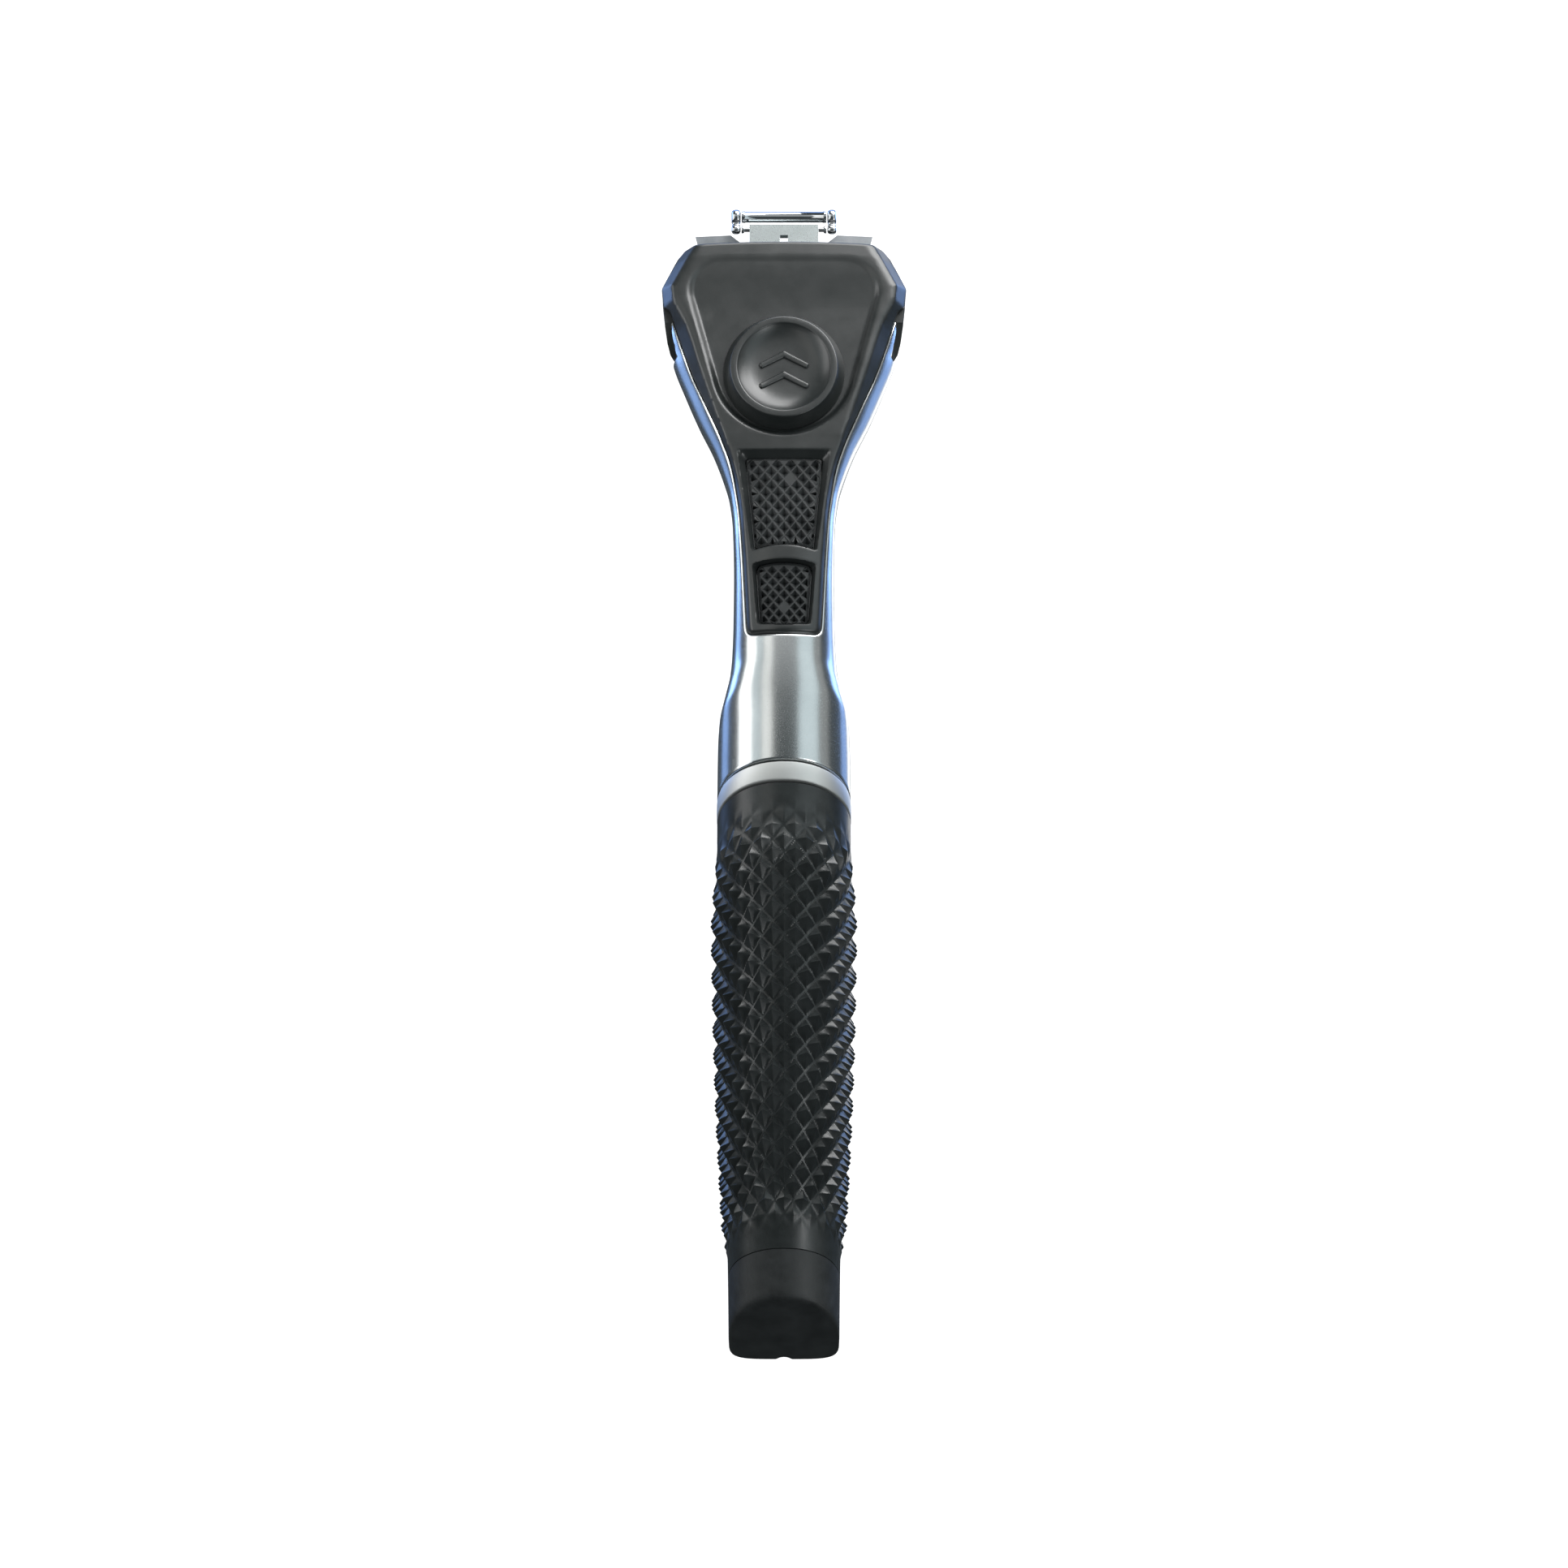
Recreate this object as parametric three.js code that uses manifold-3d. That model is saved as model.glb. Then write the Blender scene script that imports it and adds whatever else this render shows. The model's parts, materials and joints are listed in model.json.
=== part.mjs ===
// Handle of a cartridge razor, without its cartridge. Millimetres, +Z up.
// It lies on its back: button side up, head towards +Y, symmetric in X.
//
// Most shapes are drawn on a straight handle and then bent. A point on the straight handle is
// (x, station, height): the station runs along the top line, positive towards the head, with 0
// at the middle of the release button; the height is 0 on the top line and negative below it.
import * as THREE from "three";
import { mergeVertices } from "three/addons/utils/BufferGeometryUtils.js";
import Module from "manifold-3d";

const wasm = await Module();
wasm.setup();

// ---- driving dimensions ----

const HEAD_DROOP = THREE.MathUtils.degToRad(15.5); // the head's plane below the grip's top line
const REST_TILT = THREE.MathUtils.degToRad(2.2); // the grip's top line above the table's plane
const BEND_FRONT = -15; // the top line is straight from here to the head
const BEND_RADIUS = 124.6; // and straight again behind an arc of this radius
const BEND_LENGTH = BEND_RADIUS * HEAD_DROOP;
const BEND_BACK = BEND_FRONT - BEND_LENGTH;

const GAP = 0.3; // between pieces that fit together
const RUNNING_GAP = 0.15; // between the docking pin and its bore
const THIN_GAP = 0.2; // between sliding faces

const HEAD_FLOOR = -7.4; // underside of the head
const COVER_THICKNESS = 2.2;
const COVER_TAIL_THICKNESS = 1.6;
const PAD_TOP = -0.8;
const PAD_FLANGE_TOP = -2.58;
const PAD_BOTTOM = -2.9;
const PAD_FLOOR = -3.2; // floor of the seat under the pads
const COVER_FRONT = 16.42; // corners of the front edge
const COVER_FRONT_BOW = 0.42; // how far the front edge's middle stands ahead of its corners
const COVER_TAIL_END = -32.4;
const PANEL_DEPTH = 0.7; // recess round the button
const PANEL_RADIUS = 8.75;
const PANEL_CENTRE = 0.7;
const WINDOW_LEAN = 0.5; // how much wider the windows are on top than the pads in them

const BUTTON_TRAVEL = 3;
const BUTTON_BASE_RADIUS = 7.2;
const BUTTON_RIM_RADIUS = 6.45;
const BUTTON_DISH_RADIUS = 5.56;
const BUTTON_TOP = 1.6;
const BUTTON_DISH_FLOOR = 0.45;
const BUTTON_STEM_RADIUS = 1.6;
const STEM_BOTTOM = -3.6;

const CARRIAGE_TOP = -2.5;
const CARRIAGE_BOTTOM = -4.1;
const CARRIAGE_HALF_WIDTH = 4.6;
const CARRIAGE_BACK = -7;
const CARRIAGE_FRONT = 2.9;
const SPRING_BACK = -5.5; // face of the carriage that the return springs push on
const SPRING_STOP = 2.6; // face of the housing ribs that they push from
const SPRING_X = 3.2;
const SPRING_RADIUS = 0.58;
const SPRING_WIRE = 0.11;
const SPRING_TURNS = 6;

const FORK_TOP = -4.6;
const FORK_THICKNESS = 0.5;
const FORK_ARM = [5.3, 7.6]; // sides of an arm, from the middle
const PEG_HALF_WIDTH = 1; // of the carriage's peg, which carries the fork
const PEG_ENDS = [-4.6, -3];
const WING_CORNER = [5.35, 16.7];
const WING_LEAN = THREE.MathUtils.degToRad(6);

const TRAY_FLOOR = -5.4; // inside floor of the lower housing
const TRAY_BOTTOM = -6.1;
const TRAY = [[6, -8.6], [9.6, 0], [11.2, 4], [12, 10.5]]; // sits in the body behind the head's front
const ROOM = [[5, -7.9], [8.6, 0], [10.2, 4], [11.3, 8], [11.3, 18]]; // hollow of the housing

const SCREW_SIDES = [-1, 1];
const COVER_SCREW = [9.4, 6.9]; // x and station of the two screws that hold the cover
const COVER_SCREW_TOP = -1.4;
const TONGUE_SCREW = [2.6, 10.6]; // and of the two that hold the tongue
const TONGUE_SCREW_TOP = -2.6;
const SCREW_POST_RADIUS = 1.3;
const SCREW_HOLE = 0.75;
const SCREW_SHANK = 0.45;
const SCREW_HEAD = 0.95;
const SCREW_HEAD_ROOM = 1.25;
const SCREW_HEAD_HEIGHT = 0.6;
const SCREW_SLOT = [0.24, 0.25]; // width and depth

const PIN_STATION = 19.53;
const PIN_HEIGHT = -2.9;
const PIN_RADIUS = 0.27;
const BAR_RADIUS = 0.69;
const BAR_AHEAD = 1.66; // front bar's axis ahead of the pin's
const LINK_INNER = 5.26; // faces of the end links, from the middle
const LINK_OUTER = 6.38;
const LINK_LARGE_RADIUS = 0.9;
const LINK_SMALL_RADIUS = 0.55;
const LINK_EDGE = 0.2;
const TONGUE_HALF_WIDTH = 4.18;
const TONGUE_THICKNESS = 0.8;
const TONGUE_BACK = 7.4;
const KNUCKLE_RADIUS = 0.77;
const SQUARE_HOLE = 0.96;
const SQUARE_HOLE_STATION = 18.1;
const LEAF_THICKNESS = 0.15;
const LEAF_PRONG = [2.2, 3.3]; // sides of a prong, from the middle

const SLANT = 0.7; // slope of the collar's, the grip pattern's and the seam's planes
const END_SLANT = 1.0; // slope of the end face's plane
const COLLAR_FRONT = -47.2;
const COLLAR_BACK = -49.95;
const GRIP_FRONT = COLLAR_BACK - GAP;
const GRIP_BACK = -103;
const CORE_BACK = -100.5;
const SLEEVE_THICKNESS = 1.9;
const TAIL_NOTCH_RADIUS = 1.5; // of the shallow notch under the end face
const TAIL_NOTCH_HEIGHT = -12.95;

const TANG_RADIUS = 4.2;
const TANG_BACK = -64;
const TANG_HEIGHT = -7.4;
const THREAD_RADIUS = 1.1;
const SEAL = [-60.8, -60]; // ends of the seal ring round the tang
const SEAL_RADIUS = TANG_RADIUS + 0.75;
const WEB_BACK = -68; // the core's web, which the core screw pulls against the tang
const CORE_SCREW_SHANK = 1;
const CORE_SCREW_HEAD = 2;
const WEIGHT_RADIUS = 2.4;
const WEIGHT_FRONT = -70;
const WEIGHT_BACK = -97;

const PYRAMIDS_AROUND = 19;
const PYRAMID_HALF_PITCH = 1.58;
const PYRAMID_HEIGHT = 0.85;
const PYRAMID_MIDDLE = -75.45; // station of one pyramid's tip on the top line
const PYRAMID_ROWS_AHEAD = 15;
const PYRAMID_ROWS_BEHIND = 16;
const FADE_IN = [-51, -61.5]; // pyramids grow from nothing to their full height
const FADE_OUT = [-91, -101.5];

const material = (color, roughness, metalness) =>
  new THREE.MeshStandardMaterial({ color, roughness, metalness });
const SATIN_STEEL = material(0xb4b9ba, 0.34, 1);
const LIGHT_STEEL = material(0xc9cccb, 0.3, 1);
const PLATE_STEEL = material(0xa3abac, 0.42, 1);
const CHROME = material(0xdfe3e6, 0.12, 1);
const SPRING_STEEL = material(0x9a9da0, 0.3, 1);
const COVER_PLASTIC = material(0x3b4040, 0.46, 0);
const HOUSING_PLASTIC = material(0x24282a, 0.5, 0);
const WING_PLASTIC = material(0x4a5054, 0.55, 0);
const CORE_PLASTIC = material(0x55585a, 0.6, 0);
const BLACK_RUBBER = material(0x1d2021, 0.72, 0);

// ---- from the straight handle to the bent one ----

const clamp01 = (t) => Math.min(1, Math.max(0, t));
const smooth = (t) => t * t * (3 - 2 * t);

function bent(x, station, height) {
  const turned = THREE.MathUtils.clamp(station - BEND_BACK, 0, BEND_LENGTH);
  const angle = turned / BEND_RADIUS;
  const ahead = Math.max(0, station - BEND_FRONT);
  const behind = Math.min(0, station - BEND_BACK);
  const y = BEND_RADIUS * Math.sin(angle) + ahead * Math.cos(angle) + behind;
  const z = -BEND_RADIUS * (1 - Math.cos(angle)) - ahead * Math.sin(angle);
  return new THREE.Vector3(x, y + height * Math.sin(angle), z + height * Math.cos(angle));
}

// A value between the rows of a table, whose first column is the station, from head to tail.
function along(table, station, column) {
  const last = table.length - 1;
  if (station >= table[0][0]) return table[0][column];
  if (station <= table[last][0]) return table[last][column];
  const i = table.findIndex((row) => row[0] <= station);
  const [ahead, behind] = [table[i - 1], table[i]];
  const t = (station - ahead[0]) / (behind[0] - ahead[0]);
  return THREE.MathUtils.lerp(ahead[column], behind[column], t);
}

// ---- closed meshes and cuts ----

function closedMesh(points, faces) {
  const geometry = new THREE.BufferGeometry();
  const xyz = points.flatMap((p) => [p.x, p.y, p.z]);
  geometry.setAttribute("position", new THREE.Float32BufferAttribute(xyz, 3));
  geometry.setIndex(faces.flat());
  return geometry;
}

// A solid through rings of equal length, each running anticlockwise as seen from the tail,
// listed from head to tail, with a fan over each end.
function loft(rings) {
  const n = rings[0].length;
  const points = rings.flat();
  const faces = [];
  for (let r = 0; r + 1 < rings.length; r++) {
    for (let i = 0; i < n; i++) {
      const [a, b] = [r * n + i, r * n + ((i + 1) % n)];
      faces.push([a, b, a + n], [b, b + n, a + n]);
    }
  }
  const centreOf = (ring) =>
    ring.reduce((sum, p) => sum.add(p), new THREE.Vector3()).divideScalar(n);
  const front = points.push(centreOf(rings[0])) - 1;
  const back = points.push(centreOf(rings[rings.length - 1])) - 1;
  const lastRing = (rings.length - 1) * n;
  for (let i = 0; i < n; i++) {
    const j = (i + 1) % n;
    faces.push([front, j, i], [back, lastRing + i, lastRing + j]);
  }
  return closedMesh(points, faces);
}

// A solid between plan outlines at falling heights. An outline is a list of [x, station],
// anticlockwise from above, with the same number of points at every height.
function plate(levels) {
  const n = levels[0].outline.length;
  const points = levels.flatMap(({ outline, height }) =>
    outline.map(([x, station]) => bent(x, station, height)),
  );
  const faces = [];
  for (let r = 0; r + 1 < levels.length; r++) {
    for (let i = 0; i < n; i++) {
      const [a, b] = [r * n + i, r * n + ((i + 1) % n)];
      faces.push([a, a + n, b], [b, a + n, b + n]);
    }
  }
  const caps = (outline) =>
    THREE.ShapeUtils.triangulateShape(outline.map(([x, y]) => new THREE.Vector2(x, y)), []);
  for (const [a, b, c] of caps(levels[0].outline)) faces.push([a, b, c]);
  const last = (levels.length - 1) * n;
  for (const [a, b, c] of caps(levels[levels.length - 1].outline))
    faces.push([last + a, last + c, last + b]);
  return closedMesh(points, faces);
}

function solidOf(geometry) {
  const bare = geometry.clone();
  bare.deleteAttribute("normal");
  bare.deleteAttribute("uv");
  const merged = mergeVertices(bare, 1e-4);
  return new wasm.Manifold(
    new wasm.Mesh({
      numProp: 3,
      vertProperties: new Float32Array(merged.attributes.position.array),
      triVerts: new Uint32Array(merged.index.array),
    }),
  );
}

function geometryOf(solid) {
  const mesh = solid.getMesh();
  const geometry = new THREE.BufferGeometry();
  geometry.setAttribute("position", new THREE.BufferAttribute(mesh.vertProperties, 3));
  geometry.setIndex(new THREE.BufferAttribute(mesh.triVerts, 1));
  return geometry;
}

const cut = (geometry, ...tools) =>
  geometryOf(tools.reduce((solid, tool) => solid.subtract(solidOf(tool)), solidOf(geometry)));
const join = (first, ...others) =>
  geometryOf(others.reduce((solid, other) => solid.add(solidOf(other)), solidOf(first)));
const common = (a, b) => geometryOf(solidOf(a).intersect(solidOf(b)));

// ---- simple solids in head coordinates: x, station, height ----

function block([x0, x1], [s0, s1], [z0, z1]) {
  const box = new THREE.BoxGeometry(x1 - x0, s1 - s0, z1 - z0);
  return box.translate((x0 + x1) / 2, (s0 + s1) / 2, (z0 + z1) / 2);
}

function prism(outline, bottom, top) {
  const shape = new THREE.Shape(outline.map(([x, s]) => new THREE.Vector2(x, s)));
  const options = { depth: top - bottom, bevelEnabled: false };
  return new THREE.ExtrudeGeometry(shape, options).translate(0, 0, bottom);
}

// Turns a shape drawn as (station, height) upright, with its depth across the handle.
const upright = new THREE.Matrix4().set(0, 0, 1, 0, 1, 0, 0, 0, 0, 1, 0, 0, 0, 0, 0, 1);

// A solid of constant side view across the handle, from its [station, height] outline.
function sideways(outline, halfWidth) {
  const shape = new THREE.Shape(outline.map(([s, z]) => new THREE.Vector2(s, z)));
  const slab = new THREE.ExtrudeGeometry(shape, { depth: 2 * halfWidth, bevelEnabled: false });
  return slab.applyMatrix4(upright).translate(-halfWidth, 0, 0);
}

// A round solid standing on the head's plane, from its [radius, height] profile.
function turned(profile, segments = 24) {
  const points = profile.map(([r, z]) => new THREE.Vector2(r, z));
  return new THREE.LatheGeometry(points, segments).rotateX(Math.PI / 2);
}

const post = (radius, [bottom, top], x = 0, station = 0, segments = 16) =>
  turned([[0, bottom], [radius, bottom], [radius, top], [0, top]], segments)
    .translate(x, station, 0);

// A round solid lying across the handle, from x0 to x1.
function crossPin(radius, [x0, x1], station, height, segments = 20) {
  const pin = new THREE.CylinderGeometry(radius, radius, x1 - x0, segments);
  return pin.rotateZ(Math.PI / 2).translate((x0 + x1) / 2, station, height);
}

// Head coordinates to handle coordinates, for a cut across both.
const headPlace = new THREE.Matrix4()
  .makeRotationX(-HEAD_DROOP)
  .setPosition(bent(0, 0, 0));
const onHead = (geometry) => geometry.clone().applyMatrix4(headPlace);

const mirrored = (outline) => outline.map(([x, s]) => [-x, s]).reverse();
const bothSides = (right) => [...right, ...mirrored(right)];

// An outline moved outwards by a distance, or inwards by a negative one.
function offset(outline, distance) {
  const n = outline.length;
  return outline.map(([x, s], i) => {
    const [xa, sa] = outline[(i + n - 1) % n];
    const [xb, sb] = outline[(i + 1) % n];
    const before = new THREE.Vector2(s - sa, xa - x).normalize();
    const after = new THREE.Vector2(sb - s, x - xb).normalize();
    const corner = before.clone().add(after).normalize();
    const reach = distance / Math.max(0.5, corner.dot(before));
    return [x + corner.x * reach, s + corner.y * reach];
  });
}

function arc([cx, cs], radius, from, to, steps) {
  const point = (i) => {
    const angle = THREE.MathUtils.degToRad(from + ((to - from) * i) / steps);
    return [cx + radius * Math.cos(angle), cs + radius * Math.sin(angle)];
  };
  return Array.from({ length: steps + 1 }, (_, i) => point(i));
}

// ---- cross-sections of the handle ----

// A rounded section: half width, top, widest height, bottom, and how square each half is.
function section({ width, top, middle, bottom, squareTop, squareBottom }, count) {
  return Array.from({ length: count }, (_, i) => {
    const angle = Math.PI / 2 + (2 * Math.PI * i) / count;
    const [c, s] = [Math.cos(angle), Math.sin(angle)];
    const power = 2 / (s >= 0 ? squareTop : squareBottom);
    const reach = s >= 0 ? top - middle : middle - bottom;
    const x = width * Math.sign(c) * Math.abs(c) ** power;
    return [x, middle + reach * Math.sign(s) * Math.abs(s) ** power];
  });
}

// The same points spread evenly round the section, the first one staying at the top.
function spreadEvenly(points, count) {
  const closed = [...points, points[0]].map(([x, z]) => new THREE.Vector2(x, z));
  const lengths = [0];
  for (let i = 1; i < closed.length; i++)
    lengths.push(lengths[i - 1] + closed[i].distanceTo(closed[i - 1]));
  return Array.from({ length: count }, (_, k) => {
    const wanted = (lengths[lengths.length - 1] * k) / count;
    const i = Math.max(1, lengths.findIndex((length) => length >= wanted));
    const t = (wanted - lengths[i - 1]) / (lengths[i] - lengths[i - 1]);
    const p = closed[i - 1].clone().lerp(closed[i], t);
    return [p.x, p.y];
  });
}

// A section set in a plane that leans by slant: its lower points lie further to the tail.
const leaning = (points, station, slant) =>
  points.map(([x, height]) => bent(x, station + slant * height, height));

// ---- metal handle body ----

// station, half width, top, middle, bottom, squareness of top and bottom, slant
const BODY = [
  [10, 14.55, 3.6, -5, -7.4, 2, 3.4, 0],
  [7, 14.23, 3.4, -5, -7.4, 2, 3.4, 0],
  [2.8, 13.37, 3.1, -5.5, -7.4, 2, 3.4, 0],
  [-1.4, 11.82, 3.1, -5.3, -7.4, 2, 3.4, 0],
  [-5.5, 10.14, 2.7, -4.8, -7.5, 2.05, 3.4, 0],
  [-9.1, 8.45, 2, -4.4, -7.9, 2.2, 3.2, 0],
  [-12, 7.35, 0.9, -4.4, -8.4, 2.6, 3, 0],
  [-15, 6.5, 0.2, -4.4, -8.9, 3.1, 2.8, 0],
  [-18.5, 6.1, 0, -4.6, -9.5, 3.2, 2.6, 0],
  [-24, 5.95, 0, -5.2, -10.4, 2.8, 2.4, 0.16],
  [-29, 6.02, 0, -5.7, -11.2, 2.5, 2.3, 0.35],
  [-32, 6.16, 0, -6, -11.8, 2.35, 2.2, 0.47],
  [-34, 6.42, 0, -6.3, -12.2, 2.25, 2.15, 0.55],
  [-36, 7.02, 0, -6.7, -12.8, 2.2, 2.1, 0.62],
  [-38, 7.66, 0, -7.2, -13.4, 2.15, 2.1, 0.7],
  [-41, 7.86, 0, -7.5, -14, 2.1, 2.1, 0.7],
  [COLLAR_FRONT, 7.95, 0, -7.6, -14.5, 2.1, 2.1, SLANT],
];

// station, half width of the cover
const COVER = [
  [COVER_FRONT, 10.24],
  [16.3, 11.5],
  [16, 12.1],
  [15.3, 12.62],
  [11.3, 14.72],
  [9.15, 14.55],
  [8.4, 13.66],
  [4.2, 12.36],
  [0, 10.92],
  [-4.1, 9.2],
  [-8.9, 7.18],
  [-9.3, 7.02],
  [-10.3, 6.64],
  [-12.3, 6.05],
  [-14.5, 5.64],
  [-17.5, 5.2],
  [-22, 4.85],
  [-27, 4.57],
  [-31.8, 4.3],
  [-32.15, 4.05],
  [COVER_TAIL_END, 3.6],
];

// How much the cover's top falls towards its sides, on the head and at the tail's end.
const CROWN = [[-8, 0], [-16, 0.022], [-24, 0.042], [COVER_TAIL_END, 0.055]];
const crown = (x, station) => along(CROWN, station, 1) * x * x;

const coverWidth = (station) => along(COVER, station, 1);

function bodyRing(row, count) {
  const [station, width, top, middle, bottom, squareTop, squareBottom, slant] = row;
  const shape = { width, top, middle, bottom, squareTop, squareBottom };
  return leaning(section(shape, count), station, slant);
}

const SEAT_STATIONS = [12, 8.4, 4.2, 0, -4.1, -8.9, -9.4, -12.3, -14.5, -17.5, -22, -27, -32.15];
const SEAT_TOP = 7; // above all of the body

// The cover's seat: its outline, gap wide of it, from the seat's floor up.
function coverSeat() {
  const rings = [];
  for (const station of SEAT_STATIONS) {
    const half = coverWidth(station) + GAP;
    const floor = station > -9 ? -COVER_THICKNESS - GAP : PAD_FLOOR;
    rings.push(seatRing(half, station, floor));
  }
  rings.push(seatRing(coverWidth(COVER_TAIL_END), COVER_TAIL_END - GAP, PAD_FLOOR));
  return loft(rings);
}

function seatRing(half, station, floor) {
  const corners = [[half, SEAT_TOP], [-half, SEAT_TOP], [-half, floor], [half, floor]];
  return corners.map(([x, height]) => bent(x, station, height));
}

// The seam between the metal and the plastic head in side view: [station, height].
const SEAM = [[9.8, 2], [8.7, -1.2], [3.9, -4.8], [1.6, -8.8]];

// Plan of what is cut off each rail, so that it runs out in a point over the housing.
const RAIL_END = [
  [12.8, 3], [15.5, 1.7], [15.5, 11], [13.76, 11], [13.74, 8.6], [13.49, 6.8], [12.95, 3.6],
];

// Everything ahead of the faces where the metal ends and the plastic head begins.
function frontOfBody(clearance) {
  const seam = SEAM.map(([station, height]) => [station + clearance, height]);
  return sideways([[30, 6], ...seam, [30, -8.8]], 20);
}

const gripAxis = (radius, [back, front], segments = 24) =>
  new THREE.CylinderGeometry(radius, radius, front - back, segments)
    .translate(0, (front + back) / 2 - BEND_BACK, TANG_HEIGHT);

function handleBody() {
  const shell = loft(BODY.map((row) => bodyRing(row, 40)));
  const trayPocket = prism(bothSides(TRAY).map(([x, s]) => [x + Math.sign(x) * GAP, s - GAP]),
    TRAY_BOTTOM - GAP, 2);
  const railEnds = SCREW_SIDES.map((side) =>
    onHead(prism(side > 0 ? RAIL_END : mirrored(RAIL_END), HEAD_FLOOR - 1, 2)),
  );
  const open = cut(shell, coverSeat(), onHead(trayPocket), onHead(frontOfBody(0)), ...railEnds);
  const tang = gripAxis(TANG_RADIUS, [TANG_BACK, COLLAR_FRONT + 4]);
  const threadHole = gripAxis(THREAD_RADIUS, [TANG_BACK - 1, TANG_BACK + 9], 16);
  return cut(join(open, tang), threadHole);
}

// ---- collar, grip and end cap ----

// station, half width, top, bottom: the grip's smooth surface, under its pyramids
const GRIP = [
  [COLLAR_FRONT, 7.95, 0, -14.5],
  [-60, 7.98, 0, -15],
  [-72, 7.8, 0, -14.9],
  [-82, 7.5, -0.15, -14.2],
  [-90, 7.12, -0.85, -13.4],
  [-97, 6.8, -1.75, -12.75],
  [GRIP_BACK, 6.7, -2.6, -12.3],
  [-108, 6.62, -3.4, -12],
];

function gripShape(station, inset) {
  const toTail = smooth(clamp01((COLLAR_FRONT - station) / (COLLAR_FRONT - GRIP_BACK)));
  const top = along(GRIP, station, 2) - inset;
  const bottom = along(GRIP, station, 3) + inset;
  const widest = THREE.MathUtils.lerp(0.52, 0.7, toTail);
  return {
    width: along(GRIP, station, 1) - inset,
    top,
    middle: top + (bottom - top) * widest,
    bottom,
    squareTop: THREE.MathUtils.lerp(2.1, 2.2, toTail),
    squareBottom: THREE.MathUtils.lerp(2.1, 4.5, toTail),
  };
}

const gripRing = (station, inset, count, slant = SLANT) =>
  leaning(section(gripShape(station, inset), count), station, slant);

function collarRing() {
  const ring = loft([COLLAR_FRONT - GAP, COLLAR_BACK].map((s) => gripRing(s, 0, 40)));
  return cut(ring, gripAxis(TANG_RADIUS + GAP, [-80, -30]));
}

const pyramidHeight = (station) =>
  PYRAMID_HEIGHT *
  smooth(clamp01((FADE_IN[0] - station) / (FADE_IN[0] - FADE_IN[1]))) *
  smooth(clamp01((station - FADE_OUT[1]) / (FADE_OUT[0] - FADE_OUT[1])));

// One row of the diamond pattern: every other point is a pyramid's tip.
function pyramidRow(row) {
  const station = PYRAMID_MIDDLE - row * PYRAMID_HALF_PITCH;
  const count = 2 * PYRAMIDS_AROUND;
  const floor = spreadEvenly(section(gripShape(station, 0), 240), count);
  const peak = spreadEvenly(section(gripShape(station, -pyramidHeight(station)), 240), count);
  const isTip = (i) => (i + row) % 2 === 0;
  return leaning(floor.map((p, i) => (isTip(i) ? peak[i] : p)), station, SLANT);
}

// The sleeve's outside, with each four-point cell split along its groove.
function rubberGrip() {
  const count = 2 * PYRAMIDS_AROUND;
  const plain = (station) =>
    leaning(spreadEvenly(section(gripShape(station, 0), 240), count), station, SLANT);
  const rings = [plain(GRIP_FRONT)];
  const rowOfRing = [1 - PYRAMID_ROWS_AHEAD];
  for (let row = -PYRAMID_ROWS_AHEAD; row <= PYRAMID_ROWS_BEHIND; row++) {
    rings.push(pyramidRow(row));
    rowOfRing.push(row);
  }
  rings.push(plain(GRIP_BACK));
  const outer = loft(rings);
  const index = Array.from(outer.index.array);
  for (let r = 0; r + 1 < rings.length; r++) {
    for (let i = 0; i < count; i++) {
      const [a, b] = [r * count + i, r * count + ((i + 1) % count)];
      const aIsTip = (i + rowOfRing[r] + 100) % 2 === 0;
      const quad = aIsTip
        ? [a, b, a + count, b, b + count, a + count]
        : [a, b, b + count, a, b + count, a + count];
      index.splice(6 * (r * count + i), 6, ...quad);
    }
  }
  outer.setIndex(index);
  return cut(outer, gripCoreShape(SLEEVE_THICKNESS, GRIP_FRONT + 3, GRIP_BACK - 3));
}

function gripCoreShape(inset, front, back) {
  const stations = [front, -60, -72, -82, -90, -97, back];
  return loft(stations.map((s) => gripRing(s, inset, 24)));
}

function gripCore() {
  const outside = gripCoreShape(SLEEVE_THICKNESS + GAP, GRIP_FRONT, CORE_BACK);
  return cut(
    outside,
    gripAxis(TANG_RADIUS + GAP, [TANG_BACK - GAP, -40]),
    gripAxis(SEAL_RADIUS + GAP / 2, [SEAL[0] - GAP, SEAL[1] + GAP]),
    gripAxis(CORE_SCREW_SHANK + 0.5, [-75, -60], 16),
    gripAxis(WEIGHT_RADIUS + GAP, [-112, WEB_BACK]),
  );
}

function coreScrew() {
  const shank = gripAxis(CORE_SCREW_SHANK, [WEB_BACK - GAP - 0.1, TANG_BACK + 6], 16);
  const head = gripAxis(CORE_SCREW_HEAD, [WEB_BACK - GAP - 1.2, WEB_BACK - GAP], 16);
  return join(shank, head);
}

// The seal ring lies round the tang, in a groove of the core's mouth.
function tangSealRing() {
  return cut(gripAxis(SEAL_RADIUS, SEAL), gripAxis(TANG_RADIUS + GAP / 2, [-80, -30]));
}

// The end cap's rings lean more and more, from the seam to the end face.
function endCap() {
  const rings = [[GRIP_BACK - GAP, 0, SLANT], [-105, 0, 0.78], [-106.7, 0, 0.9]];
  const body = rings.map(([s, inset, slant]) => gripRing(s, inset, 40, slant));
  const rim = [[0.12, 0.05], [0.45, 0.55]].map(([back, inset]) =>
    gripRing(-107.1 - back, inset, 40, END_SLANT),
  );
  const shell = loft([...body, ...rim]);
  const plug = gripAxis(WEIGHT_RADIUS, [-110, WEIGHT_BACK - 1], 20);
  const notch = new THREE.CylinderGeometry(TAIL_NOTCH_RADIUS, TAIL_NOTCH_RADIUS, 30, 20)
    .translate(0, -72, TAIL_NOTCH_HEIGHT);
  return cut(join(shell, plug), notch);
}

// ---- head cover and its two pads ----

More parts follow.
